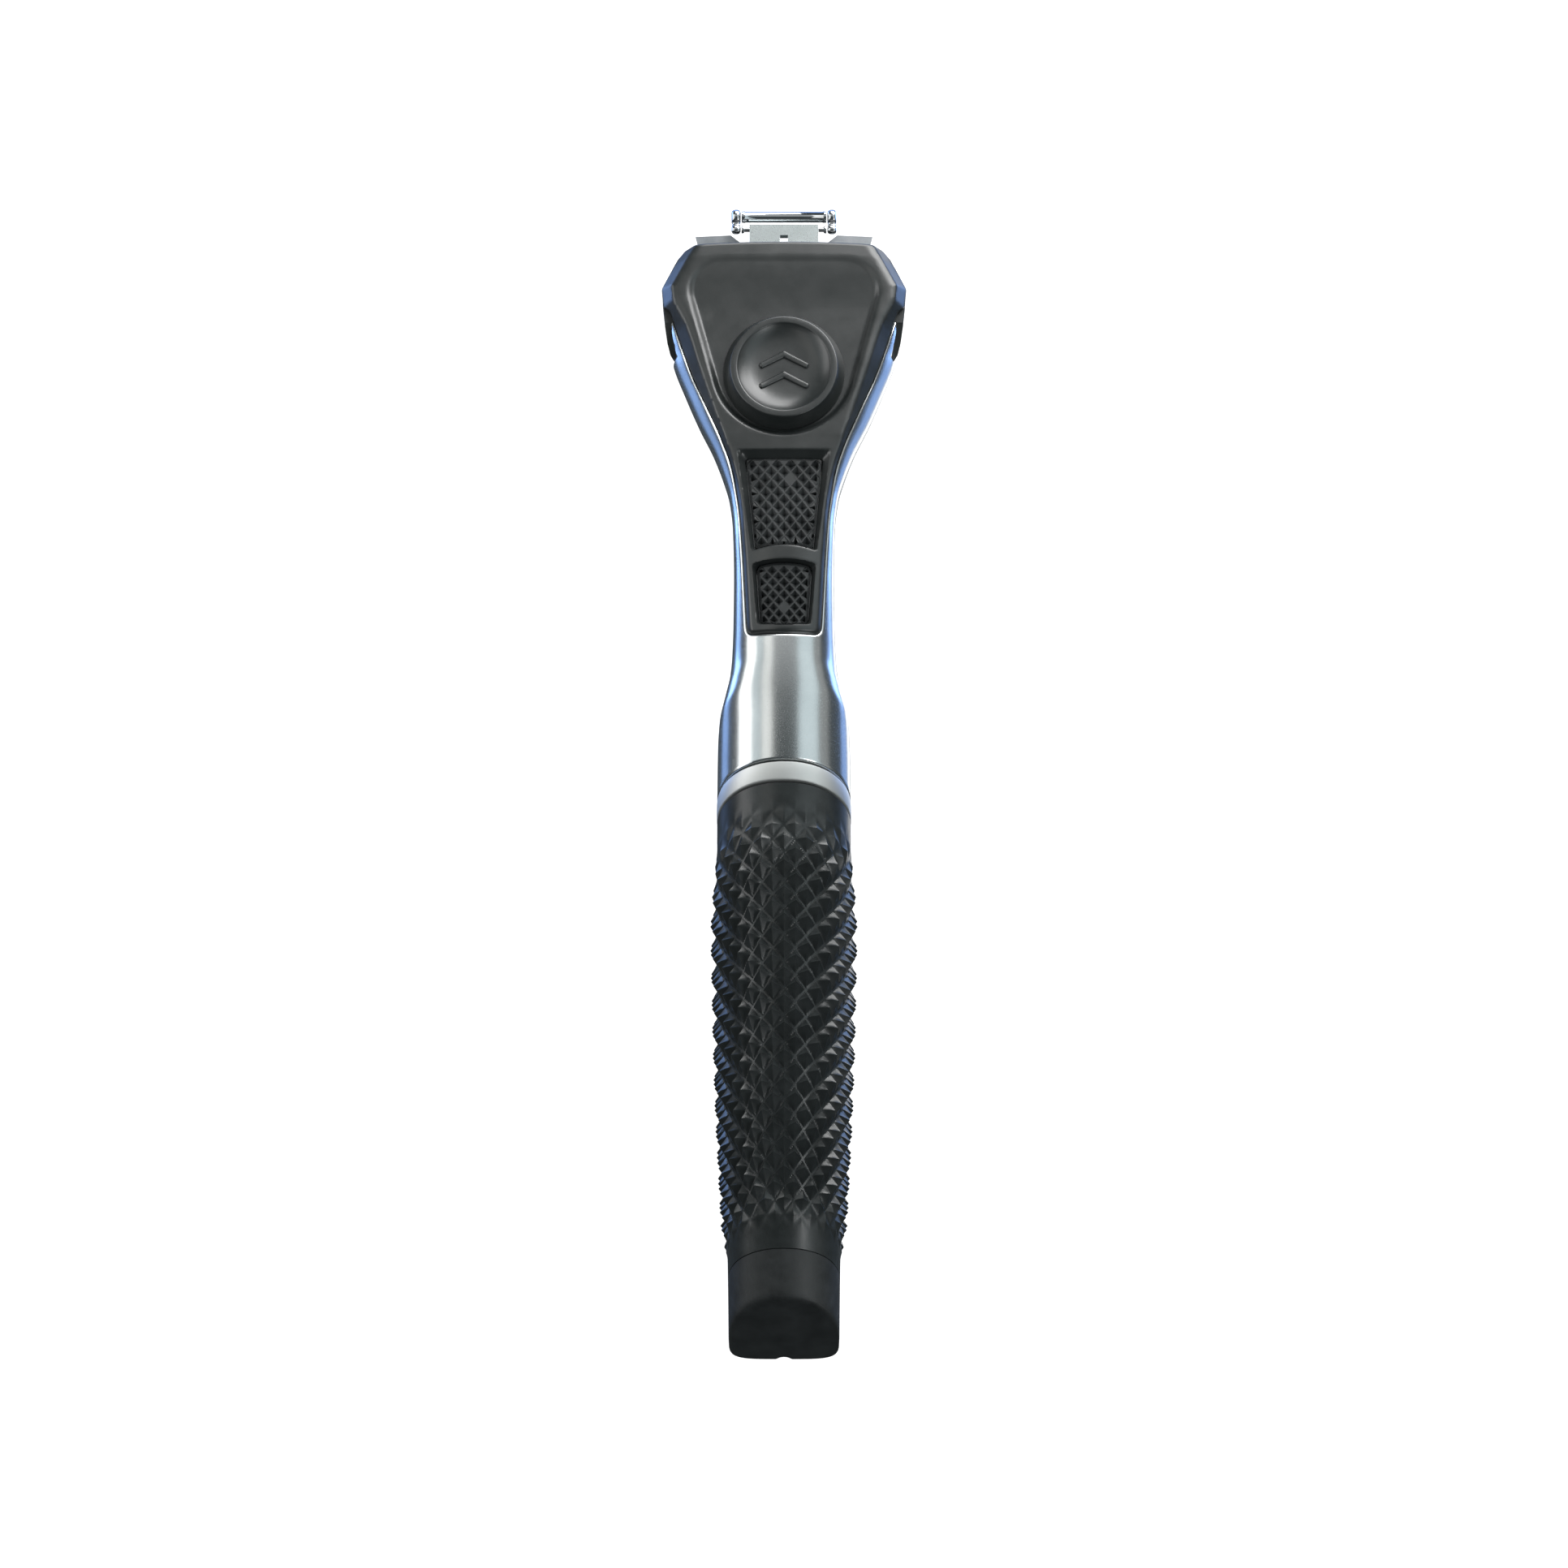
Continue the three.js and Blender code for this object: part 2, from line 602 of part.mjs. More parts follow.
// Height of the metal's surface at x, or of its surface carried on over the cover.
function metalHeight(x, station) {
  const [width, top, middle] = [1, 2, 3].map((column) => along(BODY, station, column));
  const square = along(BODY, station, 5);
  return middle + (top - middle) * clamp01(1 - (x / width) ** square) ** (1 / square);
}

function coverRing(station, half, bow = 0) {
  const thickness = station > -9 ? COVER_THICKNESS : COVER_TAIL_THICKNESS;
  const flush = -metalHeight(half, Math.min(station, 8.4)) - crown(half, station);
  const side = THREE.MathUtils.clamp(flush, 0.2, 1.9);
  const [shoulder, edge] = [Math.min(1.8, half / 3), 0.45];
  const ahead = (x) => station + bow * (1 - (x / half) ** 2);
  const top = [-1, -0.67, -0.33, 0, 0.33, 0.67, 1].map((t) => [-t * (half - shoulder), 0]);
  const left = [[-half + edge, -side * 0.6], [-half, -side], [-half, -thickness]];
  const under = [-0.5, 0, 0.5].map((t) => [t * half, -thickness]);
  const right = [[half, -thickness], [half, -side], [half - edge, -side * 0.6]];
  return [...top, ...left, ...under, ...right].map(([x, height]) =>
    bent(x, ahead(x), height - crown(x, station)),
  );
}

// The recess round the button: straight sides, round corners, and an arc behind the button.
function panelOutline() {
  const right = [
    ...arc([0, PANEL_CENTRE], PANEL_RADIUS, -90, -13, 10),
    ...arc([7.1, 10.4], 4.3, -13, 90, 8),
  ];
  const left = mirrored(right);
  return [...right, ...left.slice(0, -1)];
}

// Windows of the tail: [half width, station] of each corner on one side, and bowed ends.
function windowOutline([frontHalf, front], [backHalf, back], frontBow, backBow) {
  const steps = 8;
  const end = (half, station, bow, sign) =>
    Array.from({ length: steps + 1 }, (_, i) => {
      const t = (2 * i) / steps - 1;
      return [sign * half * t, station + bow * (1 - t * t)];
    });
  const straight = (t, sign) => [
    sign * THREE.MathUtils.lerp(frontHalf, backHalf, t),
    THREE.MathUtils.lerp(front, back, t),
  ];
  const thirds = [1 / 3, 2 / 3];
  return [
    ...end(frontHalf, front, frontBow, -1),
    ...thirds.map((t) => straight(t, -1)),
    ...end(backHalf, back, backBow, 1),
    ...thirds.map((t) => straight(1 - t, 1)),
  ];
}
const UPPER_WINDOW = windowOutline([5.05, -10.4], [3.7, -22.1], 0, 0.6);
const LOWER_WINDOW = windowOutline([3.45, -24], [2.95, -31.1], 0.45, -0.25);

const opening = (outline) =>
  plate([
    { outline: offset(outline, WINDOW_LEAN), height: 0.6 },
    { outline: offset(outline, WINDOW_LEAN * 0.7), height: -0.2 },
    { outline, height: -1 },
    { outline, height: -4 },
  ]);

function headCover() {
  const [foremost, ...others] = COVER;
  const rings = others.map(([station, half]) => {
    const bow = COVER_FRONT_BOW * clamp01((station - 15.3) / (COVER_FRONT - 15.3));
    return coverRing(station, half, bow);
  });
  const shell = loft([coverRing(foremost[0], foremost[1], COVER_FRONT_BOW), ...rings]);
  const panel = plate([
    { outline: offset(panelOutline(), 0.2), height: 0.3 },
    { outline: panelOutline(), height: 0 },
    { outline: offset(panelOutline(), -0.6), height: -PANEL_DEPTH },
  ]);
  const reach = BUTTON_STEM_RADIUS + GAP;
  const slot = onHead(block([-reach, reach], [-reach, reach + BUTTON_TRAVEL], [-4, 1]));
  const bosses = SCREW_SIDES.map((side) =>
    onHead(post(0.75, [-5, -1.2], side * COVER_SCREW[0], COVER_SCREW[1], 16)),
  );
  return cut(shell, panel, slot, opening(UPPER_WINDOW), opening(LOWER_WINDOW), ...bosses);
}

// A rubber pad: it fills its window from below and has a flange under the cover.
function gripPad(outline) {
  const face = offset(outline, -GAP);
  const flange = offset(outline, 0.6);
  return plate([
    { outline: offset(face, -0.1), height: PAD_TOP },
    { outline: face, height: PAD_TOP - 0.2 },
    { outline: face, height: PAD_FLANGE_TOP },
    { outline: flange, height: PAD_FLANGE_TOP - 0.02 },
    { outline: flange, height: PAD_BOTTOM },
  ]);
}

// ---- lower housing ----

const headPlan = () => {
  const right = [
    ...[[9.6, 0], [13.6, 0], [14.55, 9.15], [14.72, 11.3], [12.62, 15.3], [12.1, 16]],
    ...[[11.5, 16.3], [10.24, COVER_FRONT], [5, COVER_FRONT + 0.32]],
  ];
  return [...right, [0, COVER_FRONT + COVER_FRONT_BOW], ...mirrored(right)];
};

function lowerHousing() {
  const shrunk = (inset) => headPlan().map(([x, s]) => [x * (1 - inset / 15), s * (1 - inset / 17)]);
  const levels = [[-2.5, 0], [-4, 0.1], [-5.6, 0.7], [-6.8, 1.9], [HEAD_FLOOR, 3.1]];
  const front = plate(levels.map(([height, inset]) => ({ outline: shrunk(inset), height })));
  const ahead = common(front, onHead(frontOfBody(GAP)));
  const tray = onHead(prism(bothSides(TRAY), TRAY_BOTTOM, -COVER_THICKNESS - GAP));
  const hollow = onHead(prism(bothSides(ROOM), TRAY_FLOOR, 0));
  const shell = cut(join(ahead, tray), hollow);
  const pillars = [];
  const holes = [];
  for (const side of SCREW_SIDES) {
    const ribX = [side * SPRING_X - 0.5, side * SPRING_X + 0.5];
    pillars.push(block(ribX, [SPRING_STOP, SPRING_STOP + 0.8], [TRAY_FLOOR - 0.3, -2.7]));
    const screws = [[COVER_SCREW, -COVER_THICKNESS - GAP], [TONGUE_SCREW, -3.6]];
    for (const [[x, station], top] of screws) {
      pillars.push(post(SCREW_POST_RADIUS, [TRAY_FLOOR - 0.3, top], side * x, station));
      holes.push(post(SCREW_HOLE, [-9, 0], side * x, station));
      holes.push(post(SCREW_HEAD_ROOM, [-9, HEAD_FLOOR + 1], side * x, station));
    }
  }
  return cut(join(shell, ...pillars.map(onHead)), ...holes.map(onHead));
}

function screw([x, station], top) {
  const seat = HEAD_FLOOR + 1 - GAP;
  const profile = [
    [0, seat - SCREW_HEAD_HEIGHT],
    [SCREW_HEAD, seat - SCREW_HEAD_HEIGHT],
    [SCREW_HEAD, seat],
    [SCREW_SHANK, seat],
    [SCREW_SHANK, top],
    [0, top],
  ];
  const [slotWidth, slotDepth] = SCREW_SLOT;
  const slotTop = seat - SCREW_HEAD_HEIGHT + slotDepth;
  const slot = block([-1.2, 1.2], [-slotWidth / 2, slotWidth / 2], [-9, slotTop]);
  return cut(turned(profile, 16), slot).translate(x, station, 0);
}

// ---- release button, its carriage and the ejector ----

function releaseButton() {
  const floor = -PANEL_DEPTH + THIN_GAP;
  const dish = Array.from({ length: 6 }, (_, i) => {
    const r = (BUTTON_DISH_RADIUS * i) / 5;
    const rise = (r / BUTTON_DISH_RADIUS) ** 2;
    return [r, BUTTON_DISH_FLOOR + (BUTTON_TOP - 0.15 - BUTTON_DISH_FLOOR) * rise];
  });
  const wall = [
    [BUTTON_BASE_RADIUS, floor],
    [BUTTON_BASE_RADIUS - 0.02, floor + 0.15],
    [BUTTON_RIM_RADIUS, BUTTON_TOP - 0.35],
    [BUTTON_RIM_RADIUS - 0.2, BUTTON_TOP],
    [BUTTON_DISH_RADIUS + 0.15, BUTTON_TOP],
  ];
  const cap = turned([[0, floor], ...wall, ...dish.reverse()], 40);
  return join(cap, post(BUTTON_STEM_RADIUS, [STEM_BOTTOM, floor + 0.2]));
}

function sliderCarriage() {
  const height = [CARRIAGE_BOTTOM, CARRIAGE_TOP];
  const plateBlock = block([-CARRIAGE_HALF_WIDTH, CARRIAGE_HALF_WIDTH],
    [CARRIAGE_BACK, CARRIAGE_FRONT], height);
  const channels = SCREW_SIDES.map((side) =>
    block([side * SPRING_X - 0.85, side * SPRING_X + 0.85], [SPRING_BACK, 20], [-9, 0]),
  );
  const socket = post(BUTTON_STEM_RADIUS + GAP, [-9, 0]);
  const pegHeight = [FORK_TOP - FORK_THICKNESS, CARRIAGE_BOTTOM + 0.1];
  const peg = block([-PEG_HALF_WIDTH, PEG_HALF_WIDTH], PEG_ENDS, pegHeight);
  return join(cut(plateBlock, ...channels, socket), peg);
}

function ejectorFork() {
  const height = [FORK_TOP - FORK_THICKNESS, FORK_TOP];
  const base = prism(bothSides([[4.6, -6], [6.9, -2], [6.9, -1.2]]), ...height);
  const pegSide = PEG_HALF_WIDTH + GAP;
  const pegHole = block([-pegSide, pegSide], [PEG_ENDS[0] - GAP, PEG_ENDS[1] + GAP], [-9, 0]);
  const [inner, outer] = FORK_ARM;
  const arms = SCREW_SIDES.map((side) => {
    const outline = [[inner, -2.4], [outer - 0.4, -2.4], [outer, 17], [inner, 17]];
    return prism(side > 0 ? outline : mirrored(outline), ...height);
  });
  const wings = SCREW_SIDES.map((side) => ejectorWing(side));
  return cut(join(base, ...arms, ...wings), pegHole);
}

// A wing that pushes the cartridge off: it lies ahead of the head's mouth and leans outwards.
function ejectorWing(side) {
  const outline = [[0, 0], [4.75, 0], [5.5, 2.9], [1.15, 2.9], [0, 1.9]];
  const flat = prism(outline, -FORK_THICKNESS, 0);
  const placed = flat.rotateY(WING_LEAN).translate(...WING_CORNER, FORK_TOP);
  if (side > 0) return placed;
  const flipped = solidOf(placed).scale([-1, 1, 1]);
  return geometryOf(flipped);
}

class Helix extends THREE.Curve {
  constructor(radius, turns, length) {
    super();
    Object.assign(this, { radius, turns, length });
  }
  getPoint(t, target = new THREE.Vector3()) {
    const angle = 2 * Math.PI * this.turns * t;
    const [x, z] = [this.radius * Math.cos(angle), this.radius * Math.sin(angle)];
    return target.set(x, this.length * t, z);
  }
}

function returnSpring(side) {
  const length = SPRING_STOP - SPRING_BACK - 2 * THIN_GAP - 2 * SPRING_WIRE;
  const path = new Helix(SPRING_RADIUS, SPRING_TURNS, length);
  const wire = new THREE.Shape();
  wire.absarc(0, 0, SPRING_WIRE, 0, 2 * Math.PI, false);
  const options = {
    steps: 8 * SPRING_TURNS, bevelEnabled: false, extrudePath: path, curveSegments: 3,
  };
  const height = (CARRIAGE_TOP + CARRIAGE_BOTTOM) / 2;
  return new THREE.ExtrudeGeometry(wire, options)
    .translate(side * SPRING_X, SPRING_BACK + THIN_GAP + SPRING_WIRE, height);
}

// ---- docking loop and tongue ----

// The sheet thickens towards the pin's bore; what shows of its top is one plane.
function tonguePlate() {
  const half = TONGUE_THICKNESS / 2;
  const back = TONGUE_BACK - PIN_STATION;
  const top = [[back, -half], [back, half], [-6, half], [0.42, 0.6], [0.67, 0.45]];
  const underside = [...arc([0, 0], KNUCKLE_RADIUS, 0, -90, 6), [-0.75, -half]];
  const sheet = sideways([...top, ...underside], TONGUE_HALF_WIDTH)
    .translate(0, PIN_STATION, PIN_HEIGHT);
  const bore = crossPin(PIN_RADIUS + RUNNING_GAP, [-9, 9], PIN_STATION, PIN_HEIGHT);
  const side = SQUARE_HOLE / 2;
  const ends = [SQUARE_HOLE_STATION - side, SQUARE_HOLE_STATION + side];
  const holes = SCREW_SIDES.map((way) =>
    post(SCREW_HOLE, [-9, 0], way * TONGUE_SCREW[0], TONGUE_SCREW[1]),
  );
  return cut(sheet, bore, block([-side, side], ends, [-6, 0]), ...holes);
}

// A leaf with two prongs that lie under the tongue and hold the loop level.
function centringLeaf() {
  const bottom = PIN_HEIGHT - TONGUE_THICKNESS / 2 - THIN_GAP - LEAF_THICKNESS;
  const height = [bottom, bottom + LEAF_THICKNESS];
  const [inner, outer] = LEAF_PRONG;
  const base = block([-1.1, 1.1], [12, 15], height);
  const bridge = block([-outer, outer], [13.6, 15], height);
  const prongs = SCREW_SIDES.map((side) =>
    block(side > 0 ? [inner, outer] : [-outer, -inner], [13.8, 18.5], height),
  );
  return join(base, bridge, ...prongs);
}

const barStation = PIN_STATION + BAR_AHEAD;

function dockingBar() {
  const inner = LINK_INNER - THIN_GAP;
  return crossPin(BAR_RADIUS, [-inner, inner], barStation, PIN_HEIGHT, 24);
}

function dockingPin() {
  const inner = LINK_INNER - THIN_GAP;
  return crossPin(PIN_RADIUS, [-inner, inner], PIN_STATION, PIN_HEIGHT, 16);
}

// An end link: a large and a small round boss with a waist between them, edges rounded.
function endLink(side) {
  const edge = LINK_EDGE;
  const outline = [
    ...arc([BAR_AHEAD, 0], LINK_LARGE_RADIUS - edge, -145, 145, 14),
    ...arc([0, 0], LINK_SMALL_RADIUS - edge, 50, 310, 10),
  ];
  const shape = new THREE.Shape(outline.map(([s, z]) => new THREE.Vector2(s, z)));
  const width = LINK_OUTER - LINK_INNER;
  const link = new THREE.ExtrudeGeometry(shape, {
    depth: width - 2 * edge, bevelThickness: edge, bevelSize: edge, bevelSegments: 2,
  });
  const x = side > 0 ? LINK_INNER + edge : -LINK_OUTER + edge;
  return link.applyMatrix4(upright).translate(x, PIN_STATION, PIN_HEIGHT);
}

// ---- assembly ----

function piece(name, geometry, look) {
  geometry.computeVertexNormals();
  const mesh = new THREE.Mesh(geometry, look);
  mesh.name = name;
  return mesh;
}

// Pieces drawn on the bent handle.
const handle = new THREE.Group();
handle.add(
  piece("handle_body", handleBody(), SATIN_STEEL),
  piece("collar_ring", collarRing(), LIGHT_STEEL),
  piece("rubber_grip", rubberGrip(), BLACK_RUBBER),
  piece("grip_core", gripCore(), CORE_PLASTIC),
  piece("balance_weight", gripAxis(WEIGHT_RADIUS, [WEIGHT_BACK, WEIGHT_FRONT]), PLATE_STEEL),
  piece("core_screw", coreScrew(), PLATE_STEEL),
  piece("tang_seal_ring", tangSealRing(), BLACK_RUBBER),
  piece("end_cap", endCap(), BLACK_RUBBER),
  piece("head_cover", headCover(), COVER_PLASTIC),
  piece("upper_grip_pad", gripPad(UPPER_WINDOW), BLACK_RUBBER),
  piece("lower_grip_pad", gripPad(LOWER_WINDOW), BLACK_RUBBER),
  piece("lower_housing", lowerHousing(), HOUSING_PLASTIC),
);

// Pieces drawn on the head's own plane.
const head = new THREE.Group();
head.rotation.x = -HEAD_DROOP;
head.position.copy(bent(0, 0, 0));
head.add(
  piece("release_button", releaseButton(), COVER_PLASTIC),
  piece("slider_carriage", sliderCarriage(), HOUSING_PLASTIC),
  piece("ejector_fork", ejectorFork(), WING_PLASTIC),
  piece("tongue_plate", tonguePlate(), PLATE_STEEL),
  piece("centring_leaf", centringLeaf(), SPRING_STEEL),
  piece("docking_bar", dockingBar(), CHROME),
  piece("docking_pin", dockingPin(), CHROME),
);
for (const [side, word] of [[-1, "left"], [1, "right"]]) {
  const coverScrew = screw([side * COVER_SCREW[0], COVER_SCREW[1]], COVER_SCREW_TOP);
  const tongueScrew = screw([side * TONGUE_SCREW[0], TONGUE_SCREW[1]], TONGUE_SCREW_TOP);
  head.add(
    piece("docking_link_" + word, endLink(side), CHROME),
    piece("return_spring_" + word, returnSpring(side), SPRING_STEEL),
    piece("cover_screw_" + word, coverScrew, PLATE_STEEL),
    piece("tongue_screw_" + word, tongueScrew, PLATE_STEEL),
  );
}

// The razor is tipped until the grip and the head's underside both touch the table, and set
// down with the middle of its length on the origin.
const razor = new THREE.Group();
razor.add(handle, head);
razor.rotation.x = REST_TILT;
razor.updateMatrixWorld(true);
const box = new THREE.Box3().setFromObject(razor, true);
razor.position.set(0, -(box.min.y + box.max.y) / 2, -box.min.z);

const part = new THREE.Group();
part.add(razor);
export default part;
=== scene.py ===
import json
import math

import bpy
import numpy as np
from mathutils import Matrix, Vector
from mathutils.geometry import delaunay_2d_cdt

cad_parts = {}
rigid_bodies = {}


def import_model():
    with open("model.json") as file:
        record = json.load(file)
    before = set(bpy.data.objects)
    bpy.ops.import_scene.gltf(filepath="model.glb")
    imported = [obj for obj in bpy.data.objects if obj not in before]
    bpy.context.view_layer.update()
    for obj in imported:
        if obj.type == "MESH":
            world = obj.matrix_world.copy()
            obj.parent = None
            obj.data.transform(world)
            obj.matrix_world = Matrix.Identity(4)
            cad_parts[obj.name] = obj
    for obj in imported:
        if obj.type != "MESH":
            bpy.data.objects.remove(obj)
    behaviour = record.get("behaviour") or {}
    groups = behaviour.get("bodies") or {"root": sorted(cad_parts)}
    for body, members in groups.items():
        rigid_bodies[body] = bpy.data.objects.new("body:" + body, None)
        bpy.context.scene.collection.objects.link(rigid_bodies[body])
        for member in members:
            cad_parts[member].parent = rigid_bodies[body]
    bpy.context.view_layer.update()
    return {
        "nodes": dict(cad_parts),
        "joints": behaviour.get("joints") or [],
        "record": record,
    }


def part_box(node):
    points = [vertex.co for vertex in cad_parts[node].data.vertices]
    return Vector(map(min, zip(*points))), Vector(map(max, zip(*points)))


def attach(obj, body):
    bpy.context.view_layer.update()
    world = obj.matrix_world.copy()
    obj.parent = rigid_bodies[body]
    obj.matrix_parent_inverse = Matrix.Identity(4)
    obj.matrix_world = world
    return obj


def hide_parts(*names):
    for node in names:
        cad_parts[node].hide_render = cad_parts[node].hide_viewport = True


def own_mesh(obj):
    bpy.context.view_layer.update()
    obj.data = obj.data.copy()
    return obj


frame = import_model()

# The handle of a cartridge razor. Shapes are drawn in millimetres on a straight handle: x across,
# station along the top line (positive towards the head, 0 at the middle of the button), and height
# above the top line. place() bends the straight handle and lays it in the frame, in metres.

# ---- the handle's line, as in the CAD ----

MM = 0.001
TINY = 1e-6
DROOP = math.radians(15.5)  # how far the head hangs down from the grip's line
TILT = math.radians(2.2)  # how far the grip's line is turned from level
BEND_FRONT = -15.0
BEND_RADIUS = 124.6
BEND_LENGTH = BEND_RADIUS * DROOP
BEND_BACK = BEND_FRONT - BEND_LENGTH
PIN = (0.0, 19.53, -2.9)  # middle of the docking pin

SLANT = 0.7  # station per height, in the planes of the collar's ends
END_SLANT = 1.0  # the same for the end face
HEAD_FLOOR = -7.4
COLLAR_FRONT = -47.2
COLLAR_BACK = -49.95
GRIP_BACK = -103.0


def bent(points):
    """Points of the straight handle, bent down along an arc."""
    x, station, height = np.asarray(points, float).reshape(-1, 3).T
    angle = np.clip(station - BEND_BACK, 0, BEND_LENGTH) / BEND_RADIUS
    ahead = np.maximum(0, station - BEND_FRONT)
    behind = np.minimum(0, station - BEND_BACK)
    sine, cosine = np.sin(angle), np.cos(angle)
    y = BEND_RADIUS * sine + ahead * cosine + behind + height * sine
    z = -BEND_RADIUS * (1 - cosine) - ahead * sine + height * cosine
    return np.column_stack([x, y, z])


def tilted(points):
    """Bent points, turned as the handle lies on the floor."""
    turn = np.array(Matrix.Rotation(TILT, 3, "X"))
    return points @ turn.T


low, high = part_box("docking_pin")
ORIGIN = np.array((low + high) / 2) - tilted(bent(PIN))[0] * MM


def place(points):
    """Points of the straight handle in the frame, in metres."""
    return tilted(bent(points)) * MM + ORIGIN


# ---- curves and outlines ----


def smooth_curve(table, column):
    """A smooth curve through one column of a table whose first column is the station."""
    rows = sorted((row[0], row[column]) for row in table)
    x, y = np.array(rows, float).T
    step = np.diff(x)
    rate = np.diff(y) / step
    slope = np.concatenate([[rate[0]], np.zeros(len(x) - 2), [rate[-1]]])
    for i in range(1, len(x) - 1):
        if rate[i - 1] * rate[i] > 0:
            before, after = step[i - 1], step[i]
            weights = (2 * after + before, after + 2 * before)
            slope[i] = sum(weights) / (weights[0] / rate[i - 1] + weights[1] / rate[i])

    def value(at):
        at = np.clip(at, x[0], x[-1])
        i = np.clip(np.searchsorted(x, at) - 1, 0, len(step) - 1)
        t = (at - x[i]) / step[i]
        return (
            y[i] * (1 + 2 * t) * (1 - t) ** 2
            + slope[i] * step[i] * t * (1 - t) ** 2
            + y[i + 1] * t * t * (3 - 2 * t)
            + slope[i + 1] * step[i] * t * t * (t - 1)
        )

    return value


def curves(table):
    return [smooth_curve(table, column) for column in range(1, len(table[0]))]


def eased(t):
    t = np.clip(t, 0, 1)
    return t * t * (3 - 2 * t)


def rounded(corners, steps=7):
    """A closed outline with each corner (x, station, radius) turned into an arc."""
    points = []
    count = len(corners)
    for i, (x, station, radius) in enumerate(corners):
        here = np.array([x, station])
        before = np.array(corners[i - 1][:2]) - here
        after = np.array(corners[(i + 1) % count][:2]) - here
        if radius == 0:
            points.append(here)
            continue
        before, after = before / np.linalg.norm(before), after / np.linalg.norm(after)
        half = math.acos(np.clip(before @ after, -1, 1)) / 2
        reach = radius / math.tan(half)
        for t in np.linspace(0, 1, steps):
            blend = (1 - t) ** 2 * before * reach + t**2 * after * reach
            points.append(here + blend)
    return np.array(points)


def lengths(vectors):
    return np.linalg.norm(vectors, axis=1)


def turns(count):
    """Angles at even steps of a full turn."""
    return 2 * np.pi * np.arange(count) / count


def closed_ring(ring):
    """The ring with its first point repeated, and the distance along it to each point."""
    closed = np.vstack([ring, ring[:1]])
    steps = lengths(np.diff(closed, axis=0))
    return closed, np.concatenate([[0], np.cumsum(steps)])


def spread(outline, spacing):
    """The outline with its points set evenly along it, the first one staying."""
    closed, length = closed_ring(outline)
    count = max(8, int(round(length[-1] / spacing)))
    at = np.arange(count) * length[-1] / count
    return np.column_stack([np.interp(at, length, closed[:, k]) for k in (0, 1)])


def bowed(half, station, bow, across):
    """Points of an edge whose middle lies ahead of its ends by bow; half is its half width."""
    return [[x, station + bow * (1 - (x / half) ** 2)] for x in across]


def mirrored(right, spacing):
    """A closed outline with even points, from its right half listed from front to back."""
    right = np.asarray(right, float)
    left = right[::-1] * [-1, 1]
    outline = np.vstack([right, left])
    keep = lengths(outline - np.roll(outline, 1, axis=0)) > TINY
    return spread(outline[keep][::-1], spacing)


def normals_of(outline):
    """Unit vectors pointing out of an anticlockwise outline."""
    along = np.roll(outline, -1, axis=0) - np.roll(outline, 1, axis=0)
    out = np.column_stack([along[:, 1], -along[:, 0]])
    return out / lengths(out)[:, None]


def distance_to(outline, points):
    """How far each point is inside the outline; negative outside."""
    a, b = outline, np.roll(outline, -1, axis=0)
    edge = b - a
    nearest = np.full(len(points), np.inf)
    crossings = np.zeros(len(points), int)
    for start, step, end in zip(a, edge, b):
        offset = points - start
        t = np.clip(offset @ step / (step @ step), 0, 1)
        nearest = np.minimum(nearest, lengths(offset - t[:, None] * step))
        spans = (start[1] > points[:, 1]) != (end[1] > points[:, 1])
        rise = np.where(step[1] == 0, 1e-12, step[1])
        crossings += spans & (points[:, 0] < start[0] + step[0] * (points[:, 1] - start[1]) / rise)
    return np.where(crossings % 2 == 1, nearest, -nearest)


def inset_rows(outline, depths, tolerance=0.03):
    """Points of the outline moved in by each depth, without those that crowd in corners."""
    out = normals_of(outline)
    rows = []
    for depth in depths:
        moved = outline - out * depth
        good = np.abs(distance_to(outline, moved) - depth) < tolerance
        rows.append(moved[good])
    return np.vstack(rows)


def thinned(points, spacing):
    """The points with near doubles left out."""
    cells = np.round(points / spacing).astype(int)
    _, keep = np.unique(cells, axis=0, return_index=True)
    return points[np.sort(keep)]


# ---- meshes ----


def added(name, data):
    """A new object in the scene."""
    item = bpy.data.objects.new(name, data)
    bpy.context.scene.collection.objects.link(item)
    return item


def shaded(mesh, sharp):
    """Smooths a mesh, except where its faces meet at more than sharp degrees."""
    mesh.shade_smooth()
    mesh.set_sharp_from_angle(angle=math.radians(sharp))


def piece(name, shape, slot, body="handle", sharp=30, look=None):
    """A mesh object from points and faces on the straight handle, riding on a body."""
    points, faces = shape
    mesh = bpy.data.meshes.new(name)
    mesh.from_pydata(place(points).tolist(), [], [list(map(int, face)) for face in faces])
    mesh.validate()
    item = added(name, mesh)
    shaded(mesh, sharp)
    item["looks"] = look or slot
    if body:
        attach(item, body)
    return item


def grid_faces(rows, columns):
    """Quads of a tube whose rows are closed rings, listed from head to tail."""
    row, column = np.meshgrid(np.arange(rows - 1), np.arange(columns), indexing="ij")
    a = row * columns + column
    b = row * columns + (column + 1) % columns
    return np.stack([a, b, b + columns, a + columns], axis=-1).reshape(-1, 4)


def end_faces(rows, columns):
    """Triangles that close a tube's ends, from the two points that follow its rings."""
    front, back = rows * columns, rows * columns + 1
    last = (rows - 1) * columns
    faces = []
    for i in range(columns):
        j = (i + 1) % columns
        faces += [[front, j, i], [back, last + i, last + j]]
    return faces


def tube(rings):
    """Points and faces of a solid through rings that run anticlockwise as seen from the tail."""
    rings = np.asarray(rings)
    rows, columns = rings.shape[:2]
    points = np.vstack([rings.reshape(-1, 3), rings[0].mean(axis=0), rings[-1].mean(axis=0)])
    return points, grid_faces(rows, columns).tolist() + end_faces(rows, columns)


